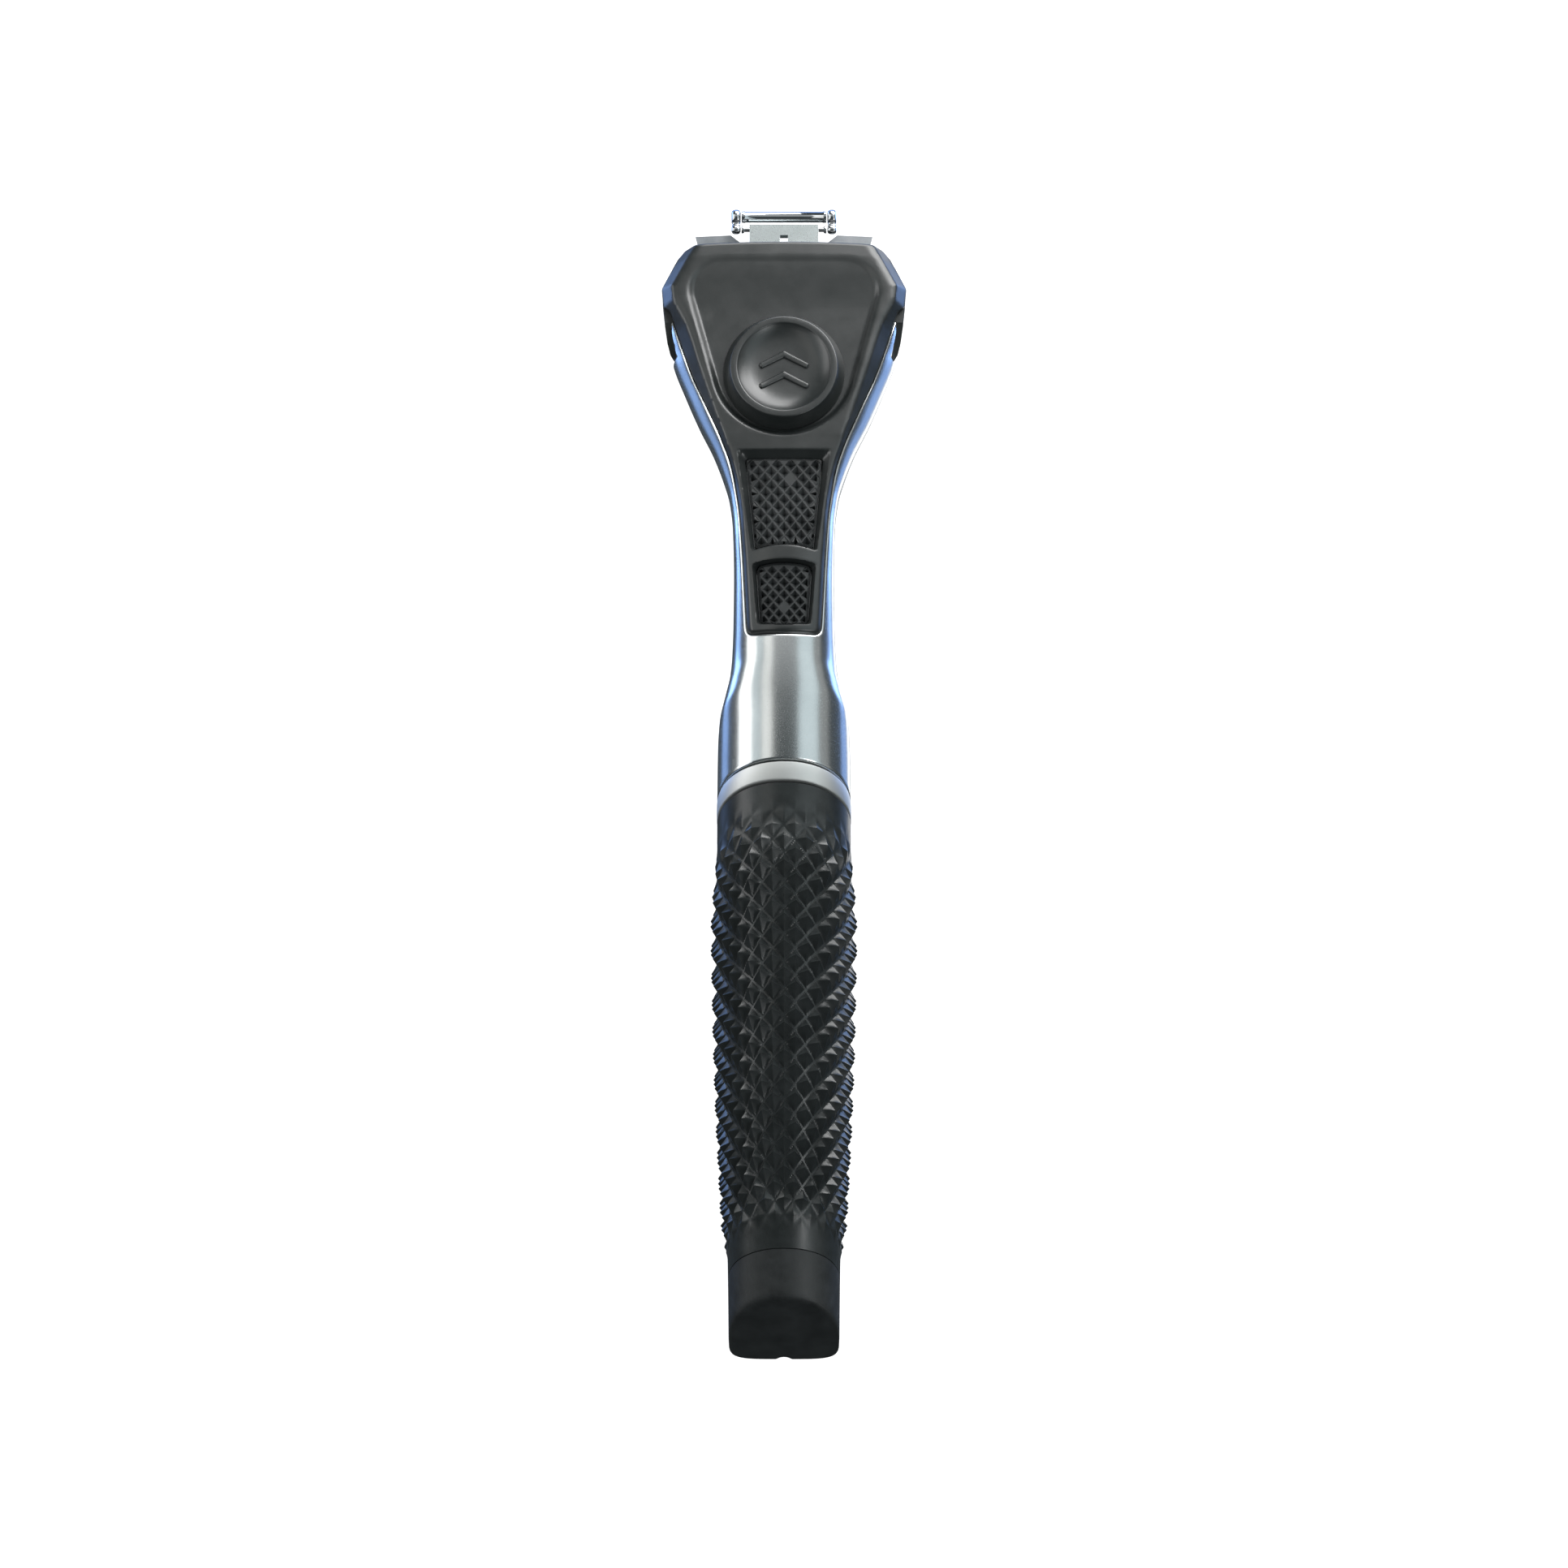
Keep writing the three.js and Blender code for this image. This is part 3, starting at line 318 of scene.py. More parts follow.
def stack(levels):
    """Points and faces of a solid between outlines at falling heights; heights may vary."""
    count = len(levels[0][0])
    points = [
        np.column_stack([outline, np.broadcast_to(height, count)]) for outline, height in levels
    ]
    faces = grid_faces(len(levels), count)[:, ::-1].tolist()
    edges = [(i, (i + 1) % count) for i in range(count)]
    flat = [Vector(p) for p in levels[-1][0]]
    cap = delaunay_2d_cdt(flat, edges, [], 1, 1e-7)[2]
    last = (len(levels) - 1) * count
    faces += [list(triangle) for triangle in cap]
    faces += [[last + i for i in reversed(triangle)] for triangle in cap]
    return np.vstack(points), faces


def slab(loops, inner, top, bottom, lines=()):
    """Points and faces of a solid whose top and bottom are heights over a plan with holes.

    loops are the plan's edges, the outer one first; inner are points between them, and lines
    are pairs of these to be joined by an edge."""
    points = np.vstack([*loops, inner])
    edges = []
    first = 0
    for loop in loops:
        count = len(loop)
        edges += [(first + i, first + (i + 1) % count) for i in range(count)]
        first += count
    edges += [(first + a, first + b) for a, b in lines]
    made = delaunay_2d_cdt([Vector(p) for p in points], edges, [], 1, TINY)
    plan = np.array([tuple(p) for p in made[0]])
    faces = np.array([list(f) for f in made[2]])
    centre = plan[faces].mean(axis=1)
    keep = distance_to(loops[0], centre) > 0
    for hole in loops[1:]:
        keep &= distance_to(hole, centre) < 0
    faces = faces[keep]
    a, b, c = (plan[faces[:, k]] for k in range(3))
    turn = (b - a)[:, 0] * (c - a)[:, 1] - (b - a)[:, 1] * (c - a)[:, 0]
    faces[turn < 0] = faces[turn < 0][:, ::-1]
    count = len(plan)
    sides = np.vstack([faces[:, [0, 1]], faces[:, [1, 2]], faces[:, [2, 0]]])
    known = {tuple(side) for side in sides.tolist()}
    rim = [(p, q) for p, q in known if (q, p) not in known]
    walls = [[p, p + count, q + count, q] for p, q in rim]
    upper = np.column_stack([plan, top(plan)])
    lower = np.column_stack([plan, bottom(plan)])
    return np.vstack([upper, lower]), faces.tolist() + (faces[:, ::-1] + count).tolist() + walls


def turned(profile, segments=128):
    """Points and faces of a round solid about the button's axis, from [radius, height] rows."""
    angle = turns(segments)
    rings = [
        np.column_stack([r * np.cos(angle), r * np.sin(angle), np.full(segments, h)])
        for r, h in profile
    ]
    faces = grid_faces(len(profile), segments)[:, ::-1].tolist()
    faces += [[tip, b, a] for tip, a, b in end_faces(len(profile), segments)]
    points = np.vstack([*rings, [[0, 0, profile[0][1]], [0, 0, profile[-1][1]]]])
    return points, faces


def moved(shape, x, station):
    points, faces = shape
    return points + [x, station, 0], faces


def modify(item, kind, **settings):
    """Adds a modifier to an object."""
    modifier = item.modifiers.new(kind, kind)
    for name, value in settings.items():
        setattr(modifier, name, value)


def bake(item):
    """Makes what an object's modifiers do part of its mesh."""
    graph = bpy.context.evaluated_depsgraph_get()
    mesh = bpy.data.meshes.new_from_object(item.evaluated_get(graph))
    item.modifiers.clear()
    item.data = mesh


CUT_SHARP = 28  # in degrees, as are the three below
FLAT_ANGLE = 1
BEVEL_ANGLE = 35
REFINED_SHARP = 40


def combine(item, shape, operation="DIFFERENCE"):
    """Cuts a shape out of an object's mesh, or joins them."""
    other = piece("tool", shape, "", body=None)
    modify(item, "BOOLEAN", object=other, operation=operation, solver="EXACT")
    bake(item)
    bpy.data.objects.remove(other)
    shaded(item.data, CUT_SHARP)


def upright(outline, top, bottom):
    """Points and faces of a solid with upright sides."""
    return stack([(outline, top), (outline, bottom)])


def refined(node, slot, body, edge, name=None):
    """A copy of a CAD node with its edges rounded."""
    item = added(name or node + "_fine", frame["nodes"][node].data.copy())
    modify(item, "WELD", merge_threshold=TINY)
    modify(item, "DECIMATE", decimate_type="DISSOLVE", angle_limit=math.radians(FLAT_ANGLE))
    limit = math.radians(BEVEL_ANGLE)
    modify(item, "BEVEL", width=edge * MM, segments=3, limit_method="ANGLE", angle_limit=limit)
    bake(item)
    shaded(item.data, REFINED_SHARP)
    modify(item, "WEIGHTED_NORMAL", keep_sharp=True)
    bake(item)
    item["looks"] = slot
    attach(item, body)
    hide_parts(node)


# ---- cross-sections ----


def section(shape, turn):
    """A rounded section as x and height at each turn, anticlockwise as seen from the tail."""
    width, top, middle, bottom, square_top, square_bottom = shape
    across, up = -np.sin(turn), np.cos(turn)
    power = np.where(up >= 0, 2 / square_top, 2 / square_bottom)
    reach = np.where(up >= 0, top - middle, middle - bottom)
    x = width * np.sign(across) * np.abs(across) ** power
    return np.column_stack([x, middle + reach * np.sign(up) * np.abs(up) ** power])


def even_turns(shape, count):
    """Angles at even distances along a section."""
    fine = turns(1440)
    _, length = closed_ring(section(shape, fine))
    return np.interp(np.arange(count) * length[-1] / count, length, [*fine, 2 * np.pi])


def leaning(ring, station, slant):
    """A section's points in a plane that slants ahead with height."""
    x, height = ring.T
    return np.column_stack([x, station + slant * height, height])


# station, half width, top, middle, bottom, squareness of top and bottom, slant
BODY = [
    [10, 14.55, 3.6, -5, -7.4, 2, 3.4, 0],
    [7, 14.23, 3.4, -5, -7.4, 2, 3.4, 0],
    [2.8, 13.37, 3.1, -5.5, -7.4, 2, 3.4, 0],
    [-1.4, 11.82, 3.1, -5.3, -7.4, 2, 3.4, 0],
    [-5.5, 10.14, 2.7, -4.8, -7.5, 2.05, 3.4, 0],
    [-9.1, 8.45, 2.0, -4.4, -7.9, 2.2, 3.2, 0],
    [-12, 7.35, 0.9, -4.4, -8.4, 2.6, 3, 0],
    [-15, 6.5, 0.2, -4.4, -8.9, 3.1, 2.8, 0],
    [-18.5, 6.1, 0, -4.6, -9.5, 3.2, 2.6, 0],
    [-24, 5.95, 0, -5.2, -10.4, 2.8, 2.4, 0.16],
    [-29, 6.02, 0, -5.7, -11.2, 2.5, 2.3, 0.35],
    [-32, 6.16, 0, -6, -11.8, 2.35, 2.2, 0.47],
    [-34, 6.42, 0, -6.3, -12.2, 2.25, 2.15, 0.55],
    [-36, 7.02, 0, -6.7, -12.8, 2.2, 2.1, 0.62],
    [-38, 7.66, 0, -7.2, -13.4, 2.15, 2.1, 0.7],
    [-41, 7.86, 0, -7.5, -14, 2.1, 2.1, 0.7],
    [COLLAR_FRONT, 7.95, 0, -7.6, -14.5, 2.1, 2.1, SLANT],
]
body_curves = curves(BODY)

# station, half width, top, bottom: the grip's smooth surface, under its pyramids
GRIP = [
    [COLLAR_FRONT, 7.95, 0, -14.5],
    [-60, 7.98, 0, -15],
    [-72, 7.8, 0, -14.9],
    [-82, 7.5, -0.15, -14.2],
    [-90, 7.12, -0.85, -13.4],
    [-97, 6.8, -1.75, -12.75],
    [GRIP_BACK, 6.7, -2.6, -12.3],
    [-108, 6.62, -3.4, -12],
]
grip_curves = curves(GRIP)


def grip_shape(station, inset=0.0):
    """The sleeve's section at a station, or one inset from it; squarer towards the tail."""
    to_tail = eased((COLLAR_FRONT - station) / (COLLAR_FRONT - GRIP_BACK))
    width, top, bottom = (curve(station) for curve in grip_curves)
    top, bottom = top - inset, bottom + inset
    middle = top + (bottom - top) * (0.52 + 0.18 * to_tail)
    return width - inset, top, middle, bottom, 2.1 + 0.1 * to_tail, 2.1 + 2.4 * to_tail


# ---- metal body ----

# the cover's long sides, behind the corners of its front: station and half width
COVER_SIDE = [[8.3, 13.62], [4.2, 12.36], [0, 10.92], [-4.1, 9.2], [-8.9, 7.18], [-12.3, 6.05]]
COVER_SIDE += [[-14.5, 5.64], [-17.5, 5.2], [-22, 4.85], [-27, 4.57], [-31.8, 4.3]]
COVER_END = -32.4
COVER_FRONT = 16.42
FRONT_BOW = 0.42  # how far the middle of the front edge lies ahead of its ends
FRONT_HALF = 11.4

# corners of the right half of the cover's plan: x, station and radius
NOSE = [[10.6, 16.48, 0], [11.95, 16.3, 0.6], [12.86, 15.2, 0.9]]
FLANK = [[14.76, 11.35, 0.9], [14.55, 9.1, 0.5], [13.62, 8.3, 1.4], [13.07, 6.5, 0]]
SOFT_FLANK = [[14.76, 11.35, 0.9], [14.5, 8.9, 1.5], [12.95, 5.9, 2.5], [12.5, 4.7, 0]]
HEEL = [[4.32, -31, 0], [4.22, COVER_END, 0.75], [0, COVER_END, 0]]
SIDE_START, SOFT_SIDE_START = 7.4, 4.6  # stations where the sides begin behind those flanks


def cover_rear(front):
    """The right side of the cover's outline from a station to the tail."""
    half = smooth_curve(COVER_SIDE, 1)
    side = [[float(half(s)), s] for s in np.arange(front, COVER_SIDE[-1][0], -0.4)]
    return np.vstack([side, rounded([[0, -20, 0], *HEEL])[2:]])


def cover_outline(spacing):
    bow = bowed(FRONT_HALF, COVER_FRONT, FRONT_BOW, np.linspace(0, NOSE[0][0], 14))
    front = rounded([[0, 10, 0], *NOSE, *FLANK])[2:-1]
    return mirrored(np.vstack([bow, front, cover_rear(SIDE_START)]), spacing)


def cover_sides():
    """The lines that the cover's sides fall to: its outline, smoothed and carried on ahead."""
    front = rounded([[0, 24, 0], [8.24, 24, 0], *SOFT_FLANK])[:-1]
    return mirrored(np.vstack([front, cover_rear(SOFT_SIDE_START)]), 0.5)


def body_height(plan):
    """Height of the metal's top surface over points of the plan."""
    width, top, middle, _, square = (curve(plan[:, 1]) for curve in body_curves[:5])
    reach = np.clip(1 - (np.abs(plan[:, 0]) / width) ** square, 0.02, 1)
    return middle + (top - middle) * reach ** (1 / square)


# the line where the metal ends and the plastic head begins: station and height
FRONT_LINE = [[9.8, 2], [8.7, -1.2], [3.9, -4.8], [1.6, -8.8]]
FAR_AHEAD = 30
FAR_UP = 6
FAR_ASIDE = 20.0


def front_cut(clearance):
    """All that lies ahead of the front line, less a clearance."""
    line = [[FAR_AHEAD, FAR_UP]]
    line += [[station + clearance, height] for station, height in FRONT_LINE]
    line.append([FAR_AHEAD, FRONT_LINE[-1][1]])
    rings = [[[x, station, height] for station, height in line] for x in (FAR_ASIDE, -FAR_ASIDE)]
    count = len(line)
    points = np.array(rings).reshape(-1, 3)
    sides = [[i, i + count, (i + 1) % count + count, (i + 1) % count] for i in range(count)]
    return points, [*sides, list(range(count)), list(range(count, 2 * count))[::-1]]


SEAT_FLOOR = -3.2
SEAT_GAP = 0.08
SEAT_ROUND = 0.36  # radius of the bright edge round the cover
SEAT_CREST = 0.012  # how far that edge stands above the metal
SEAT_LEANS = [0, 14, 28, 45, 68, 90]  # steps down that edge, in degrees
ABOVE_ALL = 7.0  # a height over all of the metal

# right halves of the plans of the housing's tray and of the pocket for it in the metal
TRAY = [[12, 10.5], [11.2, 4], [9.6, 0], [6, -8.6]]
POCKET = [[12.3, 10.2], [11.5, 3.7], [9.9, -0.3], [6.3, -8.9]]
TRAY_BOTTOM = -6.1
TRAY_GAP = 0.3

# plan of what is cut off the right rail, so that it runs out in a point over the housing
RAIL_END = [[12.8, 3.0], [15.5, 1.7], [15.5, 11], [13.98, 11]]
RAIL_END += [[13.94, 8.6], [13.66, 6.8], [13.0, 3.6]]
CUT_TOP = 2.0
CUT_BOTTOM = -9.0

NECK = -32
ROUND_STEPS = 192
# the body's rounded end: how far ahead of the collar's front plane, and inset
BODY_RIM = [(0.35, 0.0), (0.1, 0.03), (0.02, 0.12), (0.0, 0.3)]


def handle_body():
    rings = []
    for station in [*np.arange(BODY[0][0], NECK, -0.5), *np.arange(NECK, COLLAR_FRONT, -0.3)]:
        *shape, slant = (float(curve(station)) for curve in body_curves)
        rings.append(leaning(section(shape, turns(ROUND_STEPS)), station, slant))
    for ahead, inset in BODY_RIM:
        ring = section(grip_shape(COLLAR_FRONT, inset), turns(ROUND_STEPS))
        rings.append(leaning(ring, COLLAR_FRONT + ahead, SLANT))
    body = piece("metal_body", tube(rings), "satin_steel", sharp=CUT_SHARP)
    outline = cover_outline(0.3)
    out = normals_of(outline)
    levels = [(outline + out * (SEAT_GAP + SEAT_ROUND), ABOVE_ALL)]
    for lean in np.radians(SEAT_LEANS):
        edge = outline + out * (SEAT_GAP + SEAT_ROUND * (1 - math.sin(lean)))
        levels.append((edge, body_height(edge) + SEAT_CREST - SEAT_ROUND * (1 - math.cos(lean))))
    levels.append((edge, SEAT_FLOOR))
    combine(body, stack(levels))
    combine(body, front_cut(0))
    for side in (1, -1):
        rail_end = np.array(RAIL_END)[::side] * [side, 1]
        combine(body, upright(rail_end, CUT_TOP, CUT_BOTTOM))
    pocket = mirrored(POCKET, 1.0)
    combine(body, upright(pocket, CUT_TOP, TRAY_BOTTOM - TRAY_GAP))
    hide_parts("handle_body")


# ---- collar, grip and end cap ----

# along the collar: how far ahead of its front plane, and inset
COLLAR_ROWS = [(-0.3, 0.45), (-0.3, 0.1), (-0.36, 0.0), (-0.5, -0.03), (-1.3, -0.05)]
COLLAR_ROWS += [(-2.25, -0.03), (-2.4, 0.0), (-2.46, 0.1), (-2.46, 0.45)]
COLLAR_STEPS = 224


def sleeve_ring(station, inset, slant, steps):
    """A ring of the grip's smooth surface, or one inset from it."""
    return leaning(section(grip_shape(station, inset), turns(steps)), station, slant)


def collar():
    rings = [sleeve_ring(COLLAR_FRONT + at, inset, SLANT, COLLAR_STEPS) for at, inset in COLLAR_ROWS]
    ring = piece("collar", tube(rings), "light_steel", sharp=50)
    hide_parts("collar_ring")


PYRAMIDS_AROUND = 19
HALF_PITCH = 1.58
PYRAMID_HEIGHT = 1.0
SUNK = 0.15  # share of it that lies under the plain surface
RISE_FROM, RISE_OVER = -51, 10.5  # where the pyramids begin behind the collar, growing tailwards
FALL_TO, FALL_OVER = -101.2, 7  # where they end, having shrunk
PYRAMID_MIDDLE = -75.45
PYRAMID_SLANT = 0.85
SLANT_OVER = 14  # length over which the rows come to lean more than the sleeve's ends
FIRST_ROW = -15
LAST_ROW = 16
STEPS = 8  # mesh steps between neighbouring rows
FLOOR = 7 / 8  # where the grooves' flat floor begins, from the tip at 0 to the groove's middle at 1
HOLLOW = 0.05
PLAIN_FRONT = [COLLAR_BACK - 0.05 - 0.4 * k for k in range(4)]
PLAIN_BACK = [-101.3, -101.9, -102.5, GRIP_BACK + 0.04]
GRIP_ROUND = 0.25  # inset of the sleeve's end faces


def pyramid_height(station):
    rise = eased((RISE_FROM - station) / RISE_OVER)
    fall = eased((station - FALL_TO) / FALL_OVER)
    return PYRAMID_HEIGHT * rise * fall


def pyramid(around, row):
    """Height of a pyramid, from 1 at its tip to 0 in the grooves; its faces are hollow."""
    one, other = around + row, around - row
    one = np.abs(one - 2 * np.round(one / 2))
    other = np.abs(other - 2 * np.round(other / 2))
    away, beside = np.maximum(one, other), np.minimum(one, other)
    face = np.clip(1 - away / FLOOR, 0, 1)
    ridge = beside / np.maximum(away, TINY)
    return face - HOLLOW * 4 * face * (1 - face) * (1 - ridge**2)


def grip_ring(station, columns, row=None, inset=0.0):
    """One ring of the sleeve, with pyramids if it has a row."""
    middle = eased((COLLAR_BACK - station) / SLANT_OVER) * eased((station - GRIP_BACK) / SLANT_OVER)
    slant = SLANT + (PYRAMID_SLANT - SLANT) * middle
    turn = even_turns(grip_shape(station, inset), columns)
    height = section(grip_shape(station, inset), turn)[:, 1]
    floor = section(grip_shape(station + (slant - SLANT) * height, inset), turn)
    if row is not None:
        rise = pyramid_height(station) * (pyramid(np.arange(columns) / STEPS, row) - SUNK)
        floor = floor + normals_of(floor) * rise[:, None]
    return leaning(floor, station, slant)


def rubber_grip():
    columns = 2 * PYRAMIDS_AROUND * STEPS
    plain, tail = ([(station, None) for station in ends] for ends in (PLAIN_FRONT, PLAIN_BACK))
    steps = np.arange((LAST_ROW - FIRST_ROW) * STEPS + 1) / STEPS + FIRST_ROW
    lattice = [(PYRAMID_MIDDLE - row * HALF_PITCH, row) for row in steps]
    rows = [*plain, *lattice, *tail]
    rings = [grip_ring(station, columns, row) for station, row in rows]
    ends = [grip_ring(station, columns, inset=GRIP_ROUND) for station in (COLLAR_BACK, GRIP_BACK)]
    points, _ = tube([ends[0], *rings, ends[1]])
    level = [None, *(row for _, row in rows), None]
    faces = []
    for index, (a, b, c, d) in enumerate(grid_faces(len(level), columns).tolist()):
        ring, column = divmod(index, columns)
        if level[ring] is None or level[ring + 1] is None:
            faces.append([a, b, c, d])
            continue
        # each square is split along the groove that runs nearest to it
        u, v = (column + 0.5) / STEPS, level[ring] + 0.5 / STEPS
        if (math.floor(u + v) - math.floor(u - v)) % 2 == 0:
            faces += [[a, b, c], [a, c, d]]
        else:
            faces += [[a, b, d], [b, c, d]]
    faces += end_faces(len(level), columns)
    grip = piece("grip_sleeve", (points, faces), "black_rubber", sharp=24, look="grip_rubber")
    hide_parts("rubber_grip")


# along the cap: station, inset and slant
CAP_ROWS = [(-103.05, 0.3, SLANT), (-103.03, 0.05, SLANT), (-103.08, 0, SLANT), (-104, 0, 0.72)]
CAP_ROWS += [(-105, 0, 0.78), (-106, 0, 0.85), (-106.7, 0, 0.92), (-107.0, 0, 0.96)]
CAP_ROWS += [(-107.25, 0.03, END_SLANT), (-107.4, 0.1, END_SLANT), (-107.5, 0.22, END_SLANT)]
CAP_ROWS += [(-107.545, 0.36, END_SLANT)]
CAP_ROWS += [(-107.55, inset, END_SLANT) for inset in (0.55, 1.2, 2.2, 3.4)]
NOTCH_RADIUS = 1.5
NOTCH_HEIGHT = -12.95
NOTCH_ENDS = -100, -130
NOTCH_STEPS = 48


def end_cap():
    rings = [sleeve_ring(*row, ROUND_STEPS) for row in CAP_ROWS]
    cap = piece("cap", tube(rings), "black_rubber", sharp=35)
    angle = turns(NOTCH_STEPS)
    x, height = NOTCH_RADIUS * np.cos(angle), NOTCH_RADIUS * np.sin(angle) + NOTCH_HEIGHT
    notch = [np.column_stack([x, np.full(NOTCH_STEPS, s), height]) for s in NOTCH_ENDS]
    combine(cap, tube(notch))
    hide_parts("end_cap")


# ---- head cover ----

PANEL_DEPTH = 0.68  # at the button; the panel rises to the cover's front
PANEL_FRONT_DEPTH = 0.14
PANEL_RAMP = 14.4, 6.5  # station where it begins to fall from that, and the length of the fall
PANEL_CORNER = (7.2, 10.55), 4.35  # centre and radius
PANEL_BACK = (0, 0.7), 8.75
PANEL_TURN = -13  # where the two arcs meet, in degrees from straight to the right
CROWN = [[-8, 0], [-16, 0.022], [-24, 0.042], [COVER_END, 0.055]]
crown_rate = smooth_curve(CROWN, 1)


def arc(centre, radius, start, end, steps):
    angle = np.radians(np.linspace(start, end, steps + 1))
    x, station = centre
    return np.column_stack([x + radius * np.cos(angle), station + radius * np.sin(angle)])


def panel_outline(spacing):
    corner = arc(*PANEL_CORNER, 90, PANEL_TURN, 30)
    return mirrored(np.vstack([corner, arc(*PANEL_BACK, PANEL_TURN, -90, 40)]), spacing)


BOWED_SHARE = 0.85  # of a window's half width, up to its corners


def window_outline(front, back, front_bow, back_bow, radius, spacing):
    """A window between (half width, station) corners, with bowed ends and rounded corners."""
    (front_half, front_at), (back_half, back_at) = front, back
    nose = bowed(front_half, front_at, front_bow, np.linspace(0, front_half * BOWED_SHARE, 9))
    heel = bowed(back_half, back_at, back_bow, np.linspace(back_half * BOWED_SHARE, 0, 9))
    corners = [[*nose[-1], 0], [front_half, front_at, radius], [back_half, back_at, radius]]
    turn = rounded([*corners, [*heel[0], 0], [0, (front_at + back_at) / 2, 0]])[:-1]
    return mirrored(np.vstack([nose[:-1], turn, heel[1:]]), spacing)


# the windows' edges in the cover's top, and their feet round the pads
WINDOW_EDGES = [
    ((5.6, -9.84), (3.87, -22.45), 0.0, 0.65, 0.35),
    ((3.8, -23.95), (3.17, -31.3), 0.5, -0.1, 0.3),
]
WINDOW_FEET = [
    ((4.62, -10.75), (3.46, -22.1), 0.0, 0.6, 0.3),
    ((3.3, -24.15), (2.86, -31.15), 0.45, -0.25, 0.8),
]
WINDOW_DEPTH = 1.1
WINDOW_LIP = [[-0.15, 0, 0.1], [0, 0.03, 0.05]]  # distance inside the edge, and depth
COVER_THICKNESS = 2.2
TAIL_THICKNESS = 1.6
TAIL_START = -9

# the step down to the panel: distance inside its outline, and share of its depth
PANEL_WALL = [[-0.4, -0.2, -0.02, 0.15, 0.62, 0.78, 1.0], [0, 0.02, 0.09, 0.22, 0.9, 0.985, 1]]
# the cover's side: share of the way in from its edge, and share of its fall
SIDE_FALL = [[0, 0.04, 0.55, 0.68, 0.85, 1], [1, 0.95, 0.12, 0.05, 0.012, 0]]
# the cover's front: distance behind its edge, and fall
FRONT_FALL = [[0, 0.1, 0.27, 1.65, 1.95], [0.33, 0.22, 0.15, 0.015, 0]]
DEEPEST_FALL = 2.05
EDGE_CREST = 0.06  # how far the cover's edge lies under the metal beside it
EDGE_LIMITS = 0.12, 2.0

# mesh rows at these distances inside the outlines of the cover, the panel and the windows
COVER_INSETS = [0.03, 0.08, 0.16, 0.28, 0.42, 0.6, 0.8, 1.0, 1.17, 1.3, 1.45, 1.65, 1.9, 2.2]
COVER_INSETS += [2.5, 2.8]
PANEL_INSETS = [-0.6, -0.4, -0.3, -0.2, -0.11, -0.02, 0.06, 0.15, 0.3, 0.45, 0.62, 0.78, 0.85, 0.92]
PANEL_INSETS += [1.0, 1.1, 1.35]
WINDOW_INSETS = [-0.3, -0.15, -0.07, 0, 0.06, 0.12]
FIELD_STEP = 0.4  # between the mesh's points away from those rows
FIELD_GAP = 0.5

# corners of the slot for the button's stem, and heights from which and down to which it is cut
STEM_SLOT = [[1.9, 4.9, 0.3], [-1.9, 4.9, 0.3], [-1.9, -1.9, 0.3], [1.9, -1.9, 0.3]]
SLOT_ENDS = 1.0, -4.0


def crown(plan):
    """How far the cover's crest falls away from its middle line."""
    return crown_rate(plan[:, 1]) * plan[:, 0] ** 2


def shoulder(plan, sides):
    """Height, at most 0, that takes the cover from its crest to its edge at the metal."""
    x, station = plan.T
    reach = 0.6 + 1.6 * eased((station + 12) / 16)
    side = np.interp(np.clip(distance_to(sides, plan) / reach, 0, 1), *SIDE_FALL)
    behind = COVER_FRONT + FRONT_BOW * (1 - (x / FRONT_HALF) ** 2) - station
    band = np.interp(behind, *FRONT_FALL)
    return -np.minimum(cover_edge(station) * side + band, DEEPEST_FALL)


def cover_edge(station):
    """Depth of the cover's edge under its crest, so that it lies flush with the metal."""
    half = np.interp(station, *np.array(COVER_SIDE)[::-1].T) + SEAT_GAP
    edge = np.column_stack([half, np.minimum(station, COVER_SIDE[0][0])])
    return np.clip(EDGE_CREST - body_height(edge) - crown(edge), *EDGE_LIMITS)


def panel_depth(station):
    start, length = PANEL_RAMP
    return PANEL_FRONT_DEPTH + (PANEL_DEPTH - PANEL_FRONT_DEPTH) * eased((start - station) / length)


